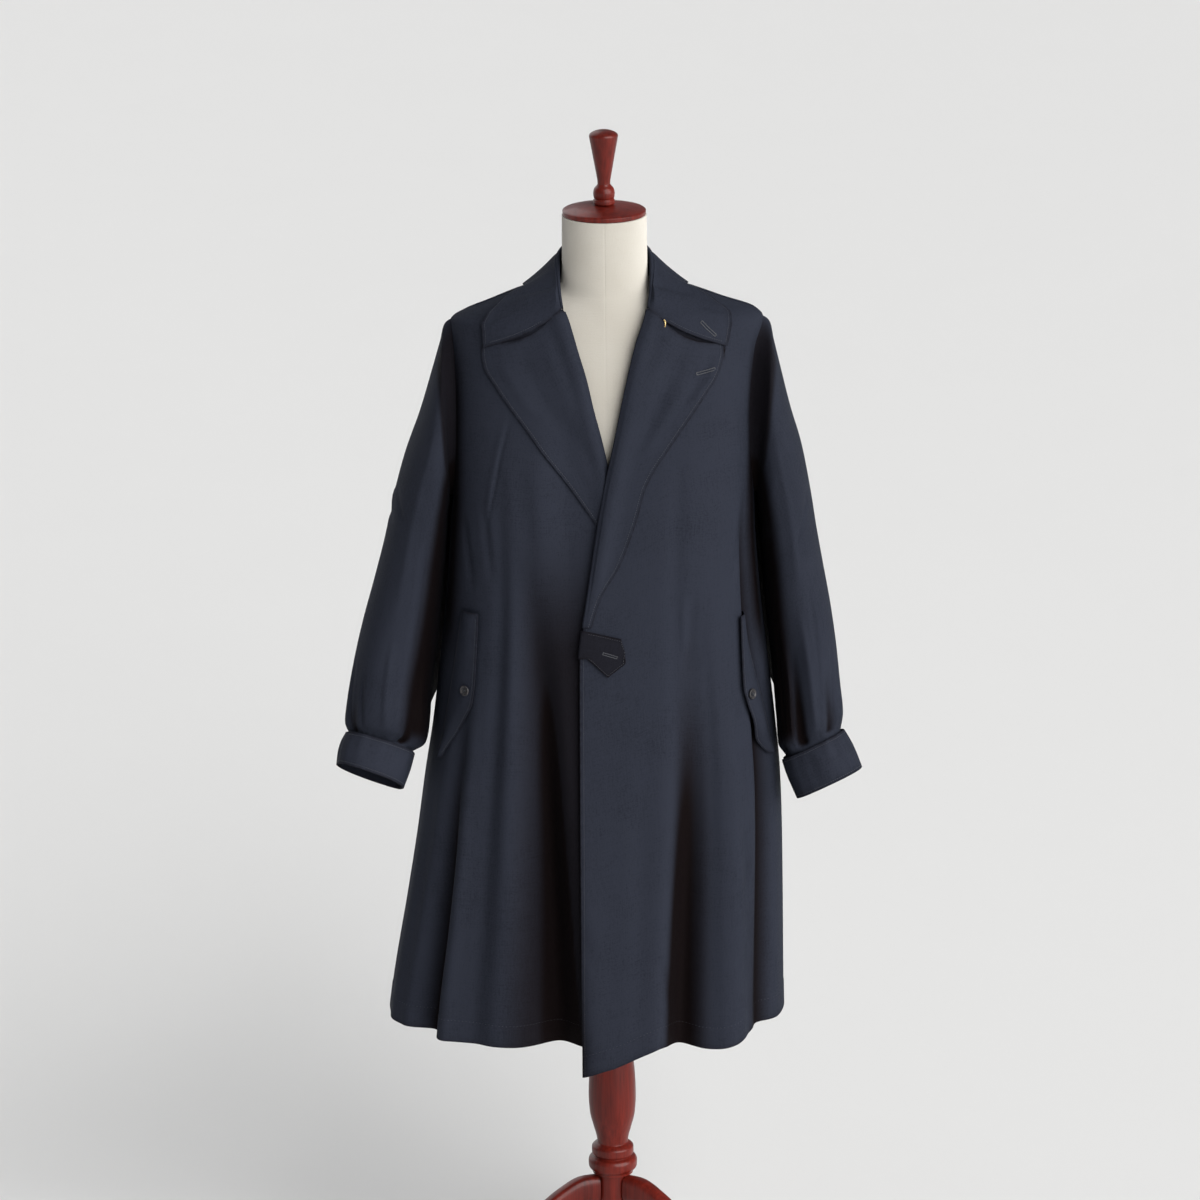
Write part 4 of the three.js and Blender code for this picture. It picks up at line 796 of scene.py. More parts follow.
def lapel_grid(word, cloth):
    side, rows = SIDES[word], LAPELS[word]
    down = np.linspace(0, 1, 170)
    row = row_at(rows, down)
    roll_x = along(EDGES[word], "z", row["roll_z"], "x")[:, None]
    t = np.concatenate([[0.03], np.linspace(0.06, 0.985, 56), [1]])[None, :]
    x = mix(roll_x, row["edge_x"][:, None], t)
    sag = 0.5 * collar_bow(t) * smooth(1 - down * 15 / 4)[:, None]
    z = mix(row["roll_z"][:, None], row["edge_z"][:, None], t) - sag
    tuck = GORGE_TUCK[word] * smooth(1 - t / 0.35)
    notch = NOTCH_DROP * np.sin(np.pi * np.clip((t - 0.15) / 0.85, 0, 1))
    z = z + (tuck - notch) * smooth(1 - down * 12)[:, None]
    recess = overlap_recess(x, z) if side < 0 else 0
    width = np.abs(row["edge_x"][:, None] - roll_x)
    length = arc_lengths(points(roll_x[:, 0], 0, row["roll_z"])[:, None], 0)[-1, 0]
    swell = 4.2 * np.exp(-((t * width - 9) / 11) ** 2) * smooth(width / 40)
    for fold in rows_of(RUMPLES[word]):
        start = (fold["across"] * width, fold["down"] * length)
        end = (fold["end_across"] * width, fold["end_down"] * length)
        swell = swell + fold["depth"] * lapel_crease(t * width, down[:, None] * length, start, end,
                                                     fold["width"])
    edge_weight = smooth((t * width) / 4) * smooth((1 - t) * width / 10 + 0.15)
    flat = on_coat(angle_at(x, z), z, LAY + cloth - recess + swell * edge_weight)
    return np.concatenate([edge_roll(word, row["roll_z"], LAPEL_ROLL, cloth, cloth, 12), flat], 1)


def lapel_crease(u, v, start, end, width):
    """A crease whose ends keep their share of the lapel's width as it narrows."""
    t = np.clip((v - start[1]) / (end[1] - start[1]), -0.3, 1.3)
    middle = mix(start[0], end[0], t)
    ends = smooth((t + 0.2) / 0.45) * smooth((1.2 - t) / 0.45)
    return ends * bump((u - middle) / width)


def collar_grid():
    way = np.linspace(0, 2, 190)
    side = np.where(way < 1, -1, 1)
    row = row_at(COLLAR, np.where(way < 1, way, 2 - way))
    fold = points(side * row["fold_x"], row["fold_y"], row["fold_z"])
    outward = unit(fold * [1, 1, 0])
    lift = COLLAR_LIFT - 3.2 * bump((np.minimum(way, 2 - way) - 0.6) / 0.26)
    edge = on_coat(side * row["edge_angle"], row["edge_z"], lift)
    foot = fold - outward * COLLAR_ROLL
    neckline = mix(1467, NECK_BACK_Z + 2, smooth((fold[:, 1] + 72) / 76))
    foot[:, 2] = np.minimum(fold[:, 2] - 1.5, neckline)
    turn = np.pi * (1 - np.linspace(0, 1, 11))[None, :, None]
    roll = fold[:, None] + outward[:, None] * COLLAR_ROLL * np.cos(turn)
    roll = roll + np.sin(turn) * COLLAR_ROLL * np.array([0, 0, 1])
    stand = mix(foot[:, None], roll[:, :1], np.linspace(0, 1, 8)[:-1][None, :, None])
    bow = smooth(1 - np.minimum(way, 2 - way) * 6)[:, None]
    t = np.linspace(0, 1, 36)[1:]
    fall = mix(roll[:, -1:], edge[:, None], t[None, :, None])
    fall[..., 2] -= bow * collar_bow(t) + COLLAR_SAG * np.sin(np.pi * t)
    ends = fall[:, -1].copy()
    fall = lifted_off(fall, lift[:, None])
    fall[:, -1] = ends
    return np.concatenate([stand, roll, fall], 1)


def tab_grid(cloth):
    lift = LAY + FLAP_CLOTH
    down = np.linspace(0, 1, 20)[:, None]
    x = np.unique(np.concatenate([np.linspace(-30, 23, 44), TAB["x"]]))[None, :]
    z = mix(np.interp(x, TAB["x"], TAB["top"]), np.interp(x, TAB["x"], TAB["bottom"]), down)
    laid = on_coat(angle_at(x, z), z, lift + 0.5 * np.sin(np.pi * down) * smooth((x + 30) / 20))
    root_z = mix(TAB["top"][0] + 1, TAB["bottom"][0] - 1, down[:, 0])
    root = edge_roll("left", root_z, LAPEL_ROLL + 0.6, FLAP_CLOTH, cloth, 9)
    return np.concatenate([root, laid], 1)


# ---- Sleeves and cuffs ----
def arm_ring(rows, share, turn, side):
    """Points round the arm at a share of the way down, turn 0 at its outer edge."""
    row = row_at(rows, share)
    outer = points(row["out_x"], row["mid_y"], row["out_z"])
    inner = points(row["in_x"], row["mid_y"], row["in_z"])
    centre, across = (outer + inner) / 2, (outer - inner) / 2
    lean = np.radians(row["lean"])
    forward = points(0, -np.cos(lean), np.sin(lean)) * row["half_y"][..., None]
    cosine, sine = np.cos(turn), np.sin(turn)
    p = centre + across * (np.sign(cosine) * np.abs(cosine) ** 0.88)[..., None]
    p = p + forward * (np.sign(sine) * np.abs(sine) ** 0.88)[..., None]
    return p * [side, 1, 1], centre * [side, 1, 1]


def beside_body(p, turn, share, side):
    """The inner side of a sleeve hangs against the side of the body."""
    s = section(p[..., 2])
    deep = shares(p[..., 0], p[..., 1], s)[1]
    half = s["right"] if side < 0 else s["left"]
    back = smooth(0.3 - 1.5 * np.cos(turn)) * smooth(0.25 - 1.5 * np.sin(turn))
    weight = back * smooth(share * 8) * smooth((0.93 - share) / 0.2)
    wide = np.clip(1 - np.clip(deep, 0, 1) ** s["power"], 0, 1) ** (1 / s["power"]) * half
    beside = wide + SLEEVE_REST
    x = np.abs(p[..., 0])
    pulled = mix(x, np.minimum(x, beside), weight)
    clear = np.where(share > 0.1, np.maximum(pulled, beside), pulled)
    return points(side * np.where(deep >= 1, x, clear), p[..., 1], p[..., 2])


def gathers(around, share, seed):
    """Small puckers that fade a little way above the cuff's seam."""
    draw = np.random.default_rng(seed)
    total = 0
    for spot in np.arange(0, 360, 13.0):
        centre, reach = spot + draw.uniform(-4, 4), draw.uniform(0.035, 0.085)
        width, depth = draw.uniform(3.0, 5.0), draw.uniform(0.8, 2.4)
        turn = (around - centre + 180) % 360 - 180
        total = total + depth * smooth((share - 0.985 + reach) / reach) * bump(turn / width)
    return total


def sleeve_grid(word, wall):
    """The sleeve, from its seam turning under the panels to its gathered end in the cuff."""
    side = SIDES[word]
    turn = np.linspace(0, 2 * np.pi, SLEEVE_COLUMNS, endpoint=False)[None, :]
    z = ARMHOLE_MIDDLE + ARMHOLE_HALF * np.cos(turn)
    bite = np.where(np.sin(turn) > 0, -ARMHOLE_FRONT, ARMHOLE_BACK)
    armhole = on_coat(side * (90 + bite * np.abs(np.sin(turn))), z)
    armhole[..., 0] += side * (SEAM + 0.3 + 0.6 * np.abs(np.sin(turn)))
    armhole = armhole - body_normal(armhole) * 0.5
    under_z = ARMHOLE_MIDDLE + (ARMHOLE_HALF + SEAM_TURNING) * np.cos(turn)
    under_bite = bite * (np.abs(np.sin(turn)) + SEAM_TURNING / 90)
    turning = on_coat(side * (90 + under_bite), under_z, -wall - 0.5)
    share = np.linspace(0, 1, SLEEVE_ROWS)[:, None]
    share_all, turns = np.broadcast_arrays(share, turn)
    rings, centre = arm_ring(SLEEVES[word], share_all, turns, side)
    rings = beside_body(rings, turns, share, side)
    around = np.degrees(turns)
    depth = gathers(around, share, 5 + side)
    for pleat in rows_of(PLEATS[word]):
        grown = smooth((share - pleat["start"]) / (0.97 - pleat["start"]))
        depth = depth + pleat["depth"] * grown * bump((around - pleat["angle"]) / pleat["width"])
    for whole in (-360, 0, 360):
        depth = depth - creases_of(ARM_CREASES[word], around + whole, share, DEGREE_OF_ARM,
                                   SLEEVE_LENGTH)
    depth = depth * (1 - smooth((share - 0.95) / 0.05))
    inner_side = smooth(-np.cos(turns) * 2 - 0.2)
    depth = np.where(depth < 0, depth * (1 - inner_side), depth)
    rings = rings + unit(centre - rings) * depth[..., None]
    gap = np.linalg.norm(rings[0] - armhole[0], axis=-1)[:, None]
    over_top = smooth((np.cos(turn[0]) - 0.55) / 0.4)[:, None]
    shoulder = unit(np.array([side * 1.0, 0, -0.42]))
    leave = unit(mix(body_normal(armhole)[0], shoulder, over_top)) * gap * mix(1.5, 1.0, over_top)
    arrive = unit(rings[3] - rings[0]) * gap * 1.1
    t = np.linspace(0, 1, HEAD_ROWS)[:-1, None, None]
    head = hermite(t, armhole[0], rings[0], leave, arrive)
    # Painted shade: in the deep pleats, on the inner side against the body, and beside the armhole
    # seam.
    pleated = smooth((depth - 2.5) / 7)
    inward = smooth((-np.cos(turns) - 0.2) / 0.4) * smooth((0.97 - share) / 0.1)
    near_seam = smooth(1 - share / 0.07) * smooth(np.abs(np.sin(turns)) * 1.6)
    marks = np.maximum(np.maximum(pleated, inward), 0.8 * near_seam)
    way = unit(rings[-1].mean(0) - rings[-12].mean(0))
    ends = [rings[-1:] + way * reach for reach in INTO_CUFF]
    grid = np.concatenate([turning, armhole, head[1:], rings, *ends])
    return grid, np.pad(marks, ((HEAD_ROWS, len(INTO_CUFF)), (0, 0)), "edge")


def cuff_grid(word):
    side = SIDES[word]
    share = np.linspace(0, 1, 20)[:, None]
    sweep = np.linspace(0, 360 + CUFF_OVERLAP, 170)[None, :]
    turn = np.radians(CUFF_OPENING[word] + sweep)
    share_all, turns = np.broadcast_arrays(share, turn)
    ring, centre = arm_ring(CUFFS[word], share_all, turns, side)
    over = smooth((sweep - 340) / 20) * (CUFF_CLOTH + 0.8)
    draw = np.random.default_rng(11 + side)
    ripple = sum(draw.uniform(0.15, 0.4) * np.sin(k * turns + draw.uniform(0, 6) + 2 * share_all)
                 for k in (3, 5, 8))
    belly = 0.9 * np.sin(np.pi * share_all)
    for spot in np.arange(0, 360, 24.0):
        middle, width = draw.uniform(0.15, 0.6), draw.uniform(7, 12)
        turn_off = (np.degrees(turns) - spot - draw.uniform(-8, 8) + 180) % 360 - 180
        puff = bump(turn_off / width) * bump((share_all - middle) / 0.55)
        belly = belly + draw.uniform(0.4, 2.0) * puff
    return ring + unit(ring - centre) * (over + ripple * smooth(share_all * 4) + belly)[..., None]


# ---- Pocket flaps, buttons and the throat hook ----
def flap_point(word, share, across, out=0.0):
    row = row_at(FLAPS[word], share)
    sewn = on_coat(row["sewn"], row["z"], LAY + FLAP_CLOTH)
    free = on_coat(row["free"], row["z"], LAY + FLAP_CLOTH + FLAP_STAND[word])
    outward = body_normal(body_base((row["sewn"] + row["free"]) / 2, row["z"]))
    arch = FLAP_ARCH * np.sin(np.pi * np.clip(across, 0, 1)) + out
    return mix(sewn, free, np.asarray(across)[..., None]) + outward * np.asarray(arch)[..., None]


def flap_grid(word):
    share, across = np.broadcast_arrays(np.linspace(0, 1, 80)[:, None],
                                        np.linspace(0, 1, 24)[None, :])
    return flap_point(word, share, across)


def lathe(rows, segments, origin=None, axes=None):
    """Vertices and faces turned from rows of radius and height, with capped ends."""
    turn = np.linspace(0, 2 * np.pi, segments, endpoint=False)
    radius, height = rows["r"][:, None], rows["z"][:, None]
    rings = points(radius * np.cos(turn), radius * np.sin(turn), height)
    if axes is not None:
        rings = rings @ axes + origin
    return capped(rings)


def capped(rings):
    """Vertices and faces of a closed tube through rings of points."""
    rows, columns = rings.shape[:2]
    at = np.arange(rows * columns).reshape(rows, columns)
    wide = np.concatenate([at, at[:, :1]], 1)
    faces = quads(wide[:-1, :-1], wide[:-1, 1:], wide[1:, 1:], wide[1:, :-1])
    vertices = rings.reshape(-1, 3)
    ends = [at[0, ::-1].tolist(), at[-1].tolist()]
    middle = vertices.mean(0)
    a, b, c = (vertices[faces[:, k]] - middle for k in range(3))
    if np.einsum("ij,ij->", a, np.cross(b, c)) < 0:
        faces = faces[:, ::-1]
        ends = [end[::-1] for end in ends]
    return vertices, faces.tolist() + ends


def joined(parts):
    """The vertices and faces of several meshes as one."""
    vertices, faces, start = [], [], 0
    for part, part_faces in parts:
        vertices.append(part)
        faces += [[k + start for k in face] for face in part_faces]
        start += len(part)
    return np.concatenate(vertices), faces


def frame_on_flap(word):
    """The middle of the flap's button and the axes of its face."""
    share, across = FLAP_SEAT[word]
    middle = flap_point(word, share, across, BUTTON_SEAT)
    beside = unit(flap_point(word, share, across + 0.1, BUTTON_SEAT) - middle)
    above = flap_point(word, share - 0.03, across, BUTTON_SEAT) - middle
    normal = unit(np.cross(beside, above))
    if normal[1] > 0:
        normal = -normal
    return middle, np.stack([beside, unit(np.cross(normal, beside)), normal])


def sew_button(word, finish, thread):
    """A button with four drilled holes and its crossed threads."""
    middle, axes = frame_on_flap(word)
    button = make_mesh(f"button_{word}", *lathe(BUTTON, 48, middle, axes), finish)
    spots = [np.array([math.cos(a), math.sin(a), 0]) * BUTTON_HOLE["away"]
             for a in np.radians([45, 135, 225, 315])]
    bit = table("r z", (BUTTON_HOLE["radius"], -2.0), (BUTTON_HOLE["radius"], 4.0))
    drill = make_mesh("drill", *joined(lathe(bit, 12, middle + spot @ axes, axes)
                                       for spot in spots), finish)
    cut = button.modifiers.new("holes", "BOOLEAN")
    cut.operation, cut.solver, cut.object = "DIFFERENCE", "EXACT", drill
    plain = baked(button)
    bpy.data.objects.remove(drill)
    declare(plain, f"flap_button_{word}")
    strand = []
    for a, b in ((0, 2), (1, 3)):
        t = np.linspace(0, 1, 9)[:, None]
        rise = np.array([0, 0, 1]) * (1.55 + 0.7 * np.sin(np.pi * t))
        strand.append((mix(spots[a], spots[b], t) + rise) @ axes + middle)
    declare(tube_mesh(f"button_thread_{word}", strand, 0.38, thread, 8))


def tube_mesh(name, paths, radius, finish, columns):
    """Round wires along smooth paths, joined in one mesh."""
    def wire(path):
        along_path = unit(np.gradient(path, axis=0))
        helper = np.where(np.abs(along_path[:, 2:]) > 0.9, [1.0, 0, 0], [0, 0, 1.0])
        side = unit(np.cross(along_path, helper))
        up = np.cross(side, along_path)
        turn = np.linspace(0, 2 * np.pi, columns, endpoint=False)[None, :, None]
        sizes = np.full(len(path), radius)
        sizes[[0, -1]] *= 0.55
        ring = side[:, None] * np.cos(turn) + up[:, None] * np.sin(turn)
        return capped(path[:, None] + ring * sizes[:, None, None])

    return make_mesh(name, *joined(wire(path) for path in paths), finish)


def baked(source):
    """A plain mesh of an object with its modifiers applied, in the object's place."""
    graph = bpy.context.evaluated_depsgraph_get()
    mesh = bpy.data.meshes.new_from_object(source.evaluated_get(graph), depsgraph=graph)
    name = source.name
    bpy.data.objects.remove(source)
    mesh.name = name
    return placed(name, mesh)


# ---- Stitches ----
def stitch_line(grid, edge, inset, trim=(0, 0), turned=1):
    """A line of sewing at a distance in from one edge of a piece, with its face's normals."""
    facing = {"right": lambda a: a[:, ::-1], "left": lambda a: a,
              "bottom": lambda a: a[::-1].transpose(1, 0, 2),
              "top": lambda a: a.transpose(1, 0, 2)}[edge]
    inwards, normals = facing(grid), facing(grid_normals(grid))
    back = arc_lengths(inwards, 1)
    line, lie = (np.array([[np.interp(inset, back[k], rows[k, :, c]) for c in range(3)]
                           for k in range(trim[0], len(rows) - trim[1])])
                 for rows in (inwards, normals))
    return line, unit(lie) * turned


def surface_line(angle, z, out):
    """A line of sewing over the coat's body."""
    p = on_coat(angle, z, out)
    return p, body_normal(body_base(np.asarray(angle, float), z))


def stitch_tree():
    """Geometry Nodes that lay one stitch at each step along a path of edges."""
    tree = bpy.data.node_groups.new("Stitches", "GeometryNodeTree")
    sockets = [("Path", "Geometry", None), ("Pitch", "Float", 0.003), ("Length", "Float", 0.002),
               ("Width", "Float", 0.0006), ("Height", "Float", 0.0004),
               ("Thread", "Material", None)]
    for name, kind, default in sockets:
        socket = tree.interface.new_socket(name, in_out="INPUT", socket_type=f"NodeSocket{kind}")
        if default is not None:
            socket.default_value = default
    tree.interface.new_socket("Sewing", in_out="OUTPUT", socket_type="NodeSocketGeometry")

    def add(kind, inputs=None, **settings):
        node = tree.nodes.new(kind)
        for name, value in settings.items():
            setattr(node, name, value)
        for name, value in (inputs or {}).items():
            if isinstance(value, bpy.types.NodeSocket):
                tree.links.new(value, node.inputs[name])
            else:
                node.inputs[name].default_value = value
        return node

    given = add("NodeGroupInput").outputs
    curve = add("GeometryNodeMeshToCurve", {"Mesh": given["Path"]}).outputs[0]
    steps = add("GeometryNodeResampleCurve", {"Curve": curve, "Length": given["Pitch"]},
                mode="LENGTH")
    tangent = add("GeometryNodeInputTangent").outputs[0]
    lie = add("GeometryNodeInputNamedAttribute", {"Name": "lie"}, data_type="FLOAT_VECTOR")
    along_path = add("FunctionNodeAlignRotationToVector", {"Vector": tangent}, axis="X")
    upright = add("FunctionNodeAlignRotationToVector",
                  {"Rotation": along_path.outputs[0], "Vector": lie.outputs["Attribute"]},
                  axis="Z", pivot_axis="X")
    size = add("ShaderNodeCombineXYZ", {"X": given["Length"], "Y": given["Width"],
                                        "Z": given["Height"]})
    grain = add("GeometryNodeMeshUVSphere", {"Segments": 6, "Rings": 4, "Radius": 0.5})
    soft = add("GeometryNodeSetShadeSmooth", {"Geometry": grain.outputs["Mesh"]})
    laid = add("GeometryNodeInstanceOnPoints",
               {"Points": steps.outputs[0], "Instance": soft.outputs[0],
                "Rotation": upright.outputs[0], "Scale": size.outputs[0]})
    whole = add("GeometryNodeRealizeInstances", {"Geometry": laid.outputs[0]})
    dyed = add("GeometryNodeSetMaterial",
               {"Geometry": whole.outputs[0], "Material": given["Thread"]})
    add("NodeGroupOutput", {"Sewing": dyed.outputs[0]})
    return tree


def sew(name, lines, thread, pitch, length, width, height):
    """One piece of sewing from lines of points in millimetres with their normals."""
    line_points = np.concatenate([line for line, _ in lines])
    lies = np.concatenate([lie for _, lie in lines])
    starts = np.cumsum([0] + [len(line) for line, _ in lines])
    edges = [(k, k + 1) for a, b in zip(starts[:-1], starts[1:]) for k in range(a, b - 1)]
    mesh = bpy.data.meshes.new(name)
    mesh.from_pydata((line_points * MM + AXIS).tolist(), edges, [])
    mesh.attributes.new("lie", "FLOAT_VECTOR", "POINT").data.foreach_set(
        "vector", lies.astype(np.float32).ravel())
    path = placed(name, mesh)
    tree = bpy.data.node_groups.get("Stitches") or stitch_tree()
    modifier = path.modifiers.new("Stitches", "NODES")
    modifier.node_group = tree
    values = {"Pitch": pitch * MM, "Length": length * MM, "Width": width * MM,
              "Height": height * MM, "Thread": thread}
    for item in tree.interface.items_tree:
        if item.in_out == "INPUT" and item.name in values:
            modifier[item.identifier] = values[item.name]
    declare(baked(path))


# ---- Finishes ----
class Wire:
    """An output of a shader node; arithmetic on it adds Math nodes."""

    def __init__(self, finish, socket):
        self.finish = finish
        self.socket = socket

    def math(self, operation, *values):
        inputs = dict(enumerate(values))
        return self.finish.node("ShaderNodeMath", {"operation": operation}, inputs)

    def __add__(self, other):
        return self.math("ADD", self, other)

    def __rsub__(self, other):
        return self.math("SUBTRACT", other, self)

    def __mul__(self, other):
        return self.math("MULTIPLY", self, other)

    __radd__ = __add__


class Finish:
    """A material whose nodes are added by node() and whose shader is a Principled BSDF."""

    def __init__(self, name, **constants):
        self.material = bpy.data.materials.new(name)
        self.material.use_nodes = True
        self.tree = self.material.node_tree
        self.shader = self.tree.nodes["Principled BSDF"]
        for label, value in constants.items():
            self.shader.inputs[label.replace("_", " ")].default_value = value

    def node(self, kind, settings=None, inputs=None, output=0):
        made = self.tree.nodes.new(kind)
        for label, value in (settings or {}).items():
            setattr(made, label, value)
        for label, value in (inputs or {}).items():
            if isinstance(value, Wire):
                self.tree.links.new(value.socket, made.inputs[label])
            else:
                made.inputs[label].default_value = value
        return Wire(self, made.outputs[output])

    def noise(self, scale, detail=2, vector=None, stretch=None, roughness=0.5):
        vector = vector or self.node("ShaderNodeTexCoord", output="Object")
        if stretch:
            vector = self.node("ShaderNodeMapping", None, {"Vector": vector, "Scale": stretch})
        inputs = {"Vector": vector, "Scale": scale, "Detail": detail, "Roughness": roughness}
        return self.node("ShaderNodeTexNoise", None, inputs)

    def blend(self, factor, a, b):
        a, b = (value if isinstance(value, Wire) else (*value, 1) for value in (a, b))
        settings = {"data_type": "RGBA", "clamp_factor": True}
        return self.node("ShaderNodeMix", settings, {0: factor, 6: a, 7: b}, output=2)

    def bump(self, height, distance, strength=1.0):
        inputs = {"Height": height, "Distance": distance, "Strength": strength}
        self.feed("Normal", self.node("ShaderNodeBump", None, inputs))

    def feed(self, label, wire):
        self.tree.links.new(wire.socket, self.shader.inputs[label])

    def between(self, wire, low, high):
        """A value that runs from 0 at low to 1 at high."""
        return self.node("ShaderNodeMapRange", None, {"Value": wire, 1: low, 2: high})


def coat_cloth(colours):
    """Fine plain-woven wool: two navy tones, slubs and a woven relief, with painted shade along
    its edges and in its folds.
    """
    finish = Finish("coat_cloth", Roughness=0.82, Sheen_Weight=0.008, Sheen_Roughness=0.4,
                    Sheen_Tint=(0.62, 0.74, 1.0, 1), IOR=1.12)
    uv = finish.node("ShaderNodeUVMap", {"uv_map": "cut"})
    parts = finish.node("ShaderNodeSeparateXYZ", None, {"Vector": uv})
    turns = 2 * math.pi / colours.weave_pitch
    warp, weft = (Wire(finish, parts.socket.node.outputs[way]) * turns for way in ("X", "Y"))
    over = warp.math("SINE", warp) * weft.math("SINE", weft)
    slub = finish.noise(1.0, 3, uv, (900, 30, 1)) + finish.noise(1.0, 3, uv, (28, 850, 1))
    grain = finish.noise(420, 4, roughness=0.65)
    broad = finish.noise(7, 3, roughness=0.6)
    tone = finish.between(slub * 0.30 + grain * 0.5 + broad * 0.35, 0.42, 0.74)
    colour = finish.blend(tone, colours.cloth_dark, colours.cloth_light)
    # Painted shade: the cloth is darkened towards the dark shade tone along the marked edges of
    # each piece.
    shaded_edges = finish.node("ShaderNodeAttribute", {"attribute_name": "shaded_edges"}, output="Fac")
    edge_weight = shaded_edges * finish.between(finish.noise(160, 3), 0.1, 0.6) * 0.55
    edge_shaded_cloth = finish.blend(edge_weight, colour, colours.cloth_painted_shade)
    # Painted shade: the cloth is darkened in deep folds, in the hollows beside the sleeves, under
    # the lap, in the notch and over the whole tab.
    folded = finish.node("ShaderNodeAttribute", {"attribute_name": "folded"}, output="Fac")
    depth = folded * finish.between(broad, -0.1, 0.35)
    finish.feed("Base Color", finish.blend(depth * 0.97, edge_shaded_cloth, colours.cloth_painted_shade))
    finish.feed("Roughness", 0.86 - tone * 0.12)
    finish.bump(over * 0.25 + slub * 0.5 + grain * 0.7 + broad * 2.0, 0.00035, 0.8)
    return finish.material


def shade(colour, times):
    return [channel * times for channel in colour]


def thread_finish(name, colour):
    """Twisted sewing thread."""
    finish = Finish(name, Roughness=0.6, Sheen_Weight=0.15)
    twist = finish.noise(2500, 2, stretch=(1, 1, 2.2))
    finish.feed("Base Color", finish.blend(twist, shade(colour, 0.65), shade(colour, 1.3)))
    finish.bump(twist, 0.0001)
    return finish.material


def calico(colours):
    """Cream cotton stretched over the form: weave, flecks and a little soiling."""
    finish = Finish("calico", Roughness=0.88, Diffuse_Roughness=1.0, Sheen_Weight=0.12, IOR=1.4)
    flecks = finish.between(finish.noise(700, 3), 0.62, 0.72)
    cloud = finish.noise(11, 3, roughness=0.6)
    base = finish.blend(finish.between(cloud, 0.35, 0.7), colours.calico_shade, colours.calico)
    threads = (finish.noise(1.0, 2, stretch=(1500, 1500, 120))
               + finish.noise(1.0, 2, stretch=(90, 90, 1700)))
    woven = finish.blend(threads * 0.35, base, shade(colours.calico, 0.82))
    finish.feed("Base Color", finish.blend(flecks * 0.35, woven, colours.calico_fleck))
    finish.feed("Roughness", 0.82 + cloud * 0.12)
    finish.bump(threads * 0.6 + cloud * 1.5, 0.0004, 0.7)
    return finish.material


def mahogany(colours):
    """Dark red varnished wood with its grain along the turning."""
    finish = Finish("turned_wood", Coat_Weight=0.1, Coat_Roughness=0.1, IOR=1.3)
    fibre = finish.noise(1.0, 5, stretch=(240, 240, 9), roughness=0.6)
    figure = finish.noise(1.0, 3, stretch=(26, 26, 3.5), roughness=0.55)
    tone = finish.between(fibre * 0.45 + figure * 0.65, 0.36, 0.72)
    finish.feed("Base Color", finish.blend(tone, colours.wood_dark, colours.wood_light))
    dust = finish.noise(60, 4, roughness=0.7)
    finish.feed("Roughness", 0.26 + dust * 0.22)
    finish.bump(fibre * 0.6 + figure * 0.3, 0.0003, 0.5)
    return finish.material


def horn(colours):
    """A dark, clouded button."""
    finish = Finish("button", Coat_Weight=0.06, Coat_Roughness=0.2, IOR=1.4)
    cloud = finish.noise(260, 4, roughness=0.6)
    clouded = finish.blend(finish.between(cloud, 0.4, 0.7), colours.horn_dark, colours.horn_light)
    finish.feed("Base Color", clouded)
    finish.feed("Roughness", 0.34 + cloud * 0.25)
    finish.bump(cloud, 0.0001, 0.4)
    return finish.material


def worn_brass(colours):
    """Brass with tarnish in patches."""
    finish = Finish("brass", Metallic=1.0)
    patch = finish.between(finish.noise(700, 4, roughness=0.65), 0.4, 0.7)
    finish.feed("Base Color", finish.blend(patch, colours.brass, shade(colours.brass, 0.42)))
    finish.feed("Roughness", 0.24 + patch * 0.3)
    finish.bump(patch, 0.00008, 0.4)
    return finish.material


def pale_floor(colours):
    """A matt pale floor."""
    finish = Finish("pale_floor", Roughness=0.95)
    cloud = finish.noise(2.2, 3, roughness=0.6)
    finish.feed("Base Color", finish.blend(cloud * 0.3, colours.floor, shade(colours.floor, 0.95)))
    return finish.material


# ---- Settings that a user would change ----
def size(name, description, default):
    return FloatProperty(name=name, description=description, default=default, unit="LENGTH",
                         precision=5)


def tint(name, description, *default):
    return FloatVectorProperty(name=name, description=description, default=default,
                               subtype="COLOR")


class OvercoatSizes(bpy.types.PropertyGroup):
    cloth: size("Cloth", "Thickness of the coat's cloth", 0.0016)
    hem: size("Hem", "Depth of the turned-up hem", 0.031)
    pitch: size("Stitch pitch", "From one stitch to the next", 0.0032)
    thread: size("Thread", "Thickness of the sewing thread", 0.0006)


class OvercoatColours(bpy.types.PropertyGroup):
    weave_pitch: size("Weave pitch", "Length of one repeat of the weave", 0.0011)
    cloth_dark: tint("Cloth, dark", "Deeper tone of the cloth", 0.0095, 0.0108, 0.0155)
    cloth_light: tint("Cloth, light", "Paler tone of the cloth", 0.0215, 0.0245, 0.0355)
    # The dark tone that is painted in as shade at edges, in folds and hollows and over the tab.
    cloth_painted_shade: tint("Cloth, folds", "Deep tone of the folds", 0.0034, 0.0016, 0.0014)
    thread: tint("Thread", "Sewing thread", 0.019, 0.022, 0.031)
    hole_thread: tint("Buttonhole thread", "Worked buttonholes", 0.05, 0.053, 0.061)
    calico: tint("Calico", "Cover of the dress form", 0.56, 0.535, 0.48)
    calico_shade: tint("Calico, soiled", "Its darker patches", 0.52, 0.49, 0.43)
    calico_fleck: tint("Calico, flecks", "Its seed flecks", 0.42, 0.36, 0.27)
    wood_dark: tint("Wood, dark", "Dark grain of the stand", 0.035, 0.0035, 0.0025)
    wood_light: tint("Wood, light", "Red grain of the stand", 0.16, 0.0145, 0.008)
    horn_dark: tint("Horn, dark", "Buttons", 0.008, 0.009, 0.012)
    horn_light: tint("Horn, light", "Clouds of the buttons", 0.05, 0.045, 0.045)
    brass: tint("Brass", "Throat hook", 0.80, 0.58, 0.26)
    floor: tint("Floor", "Floor under the stand", 0.80, 0.80, 0.79)


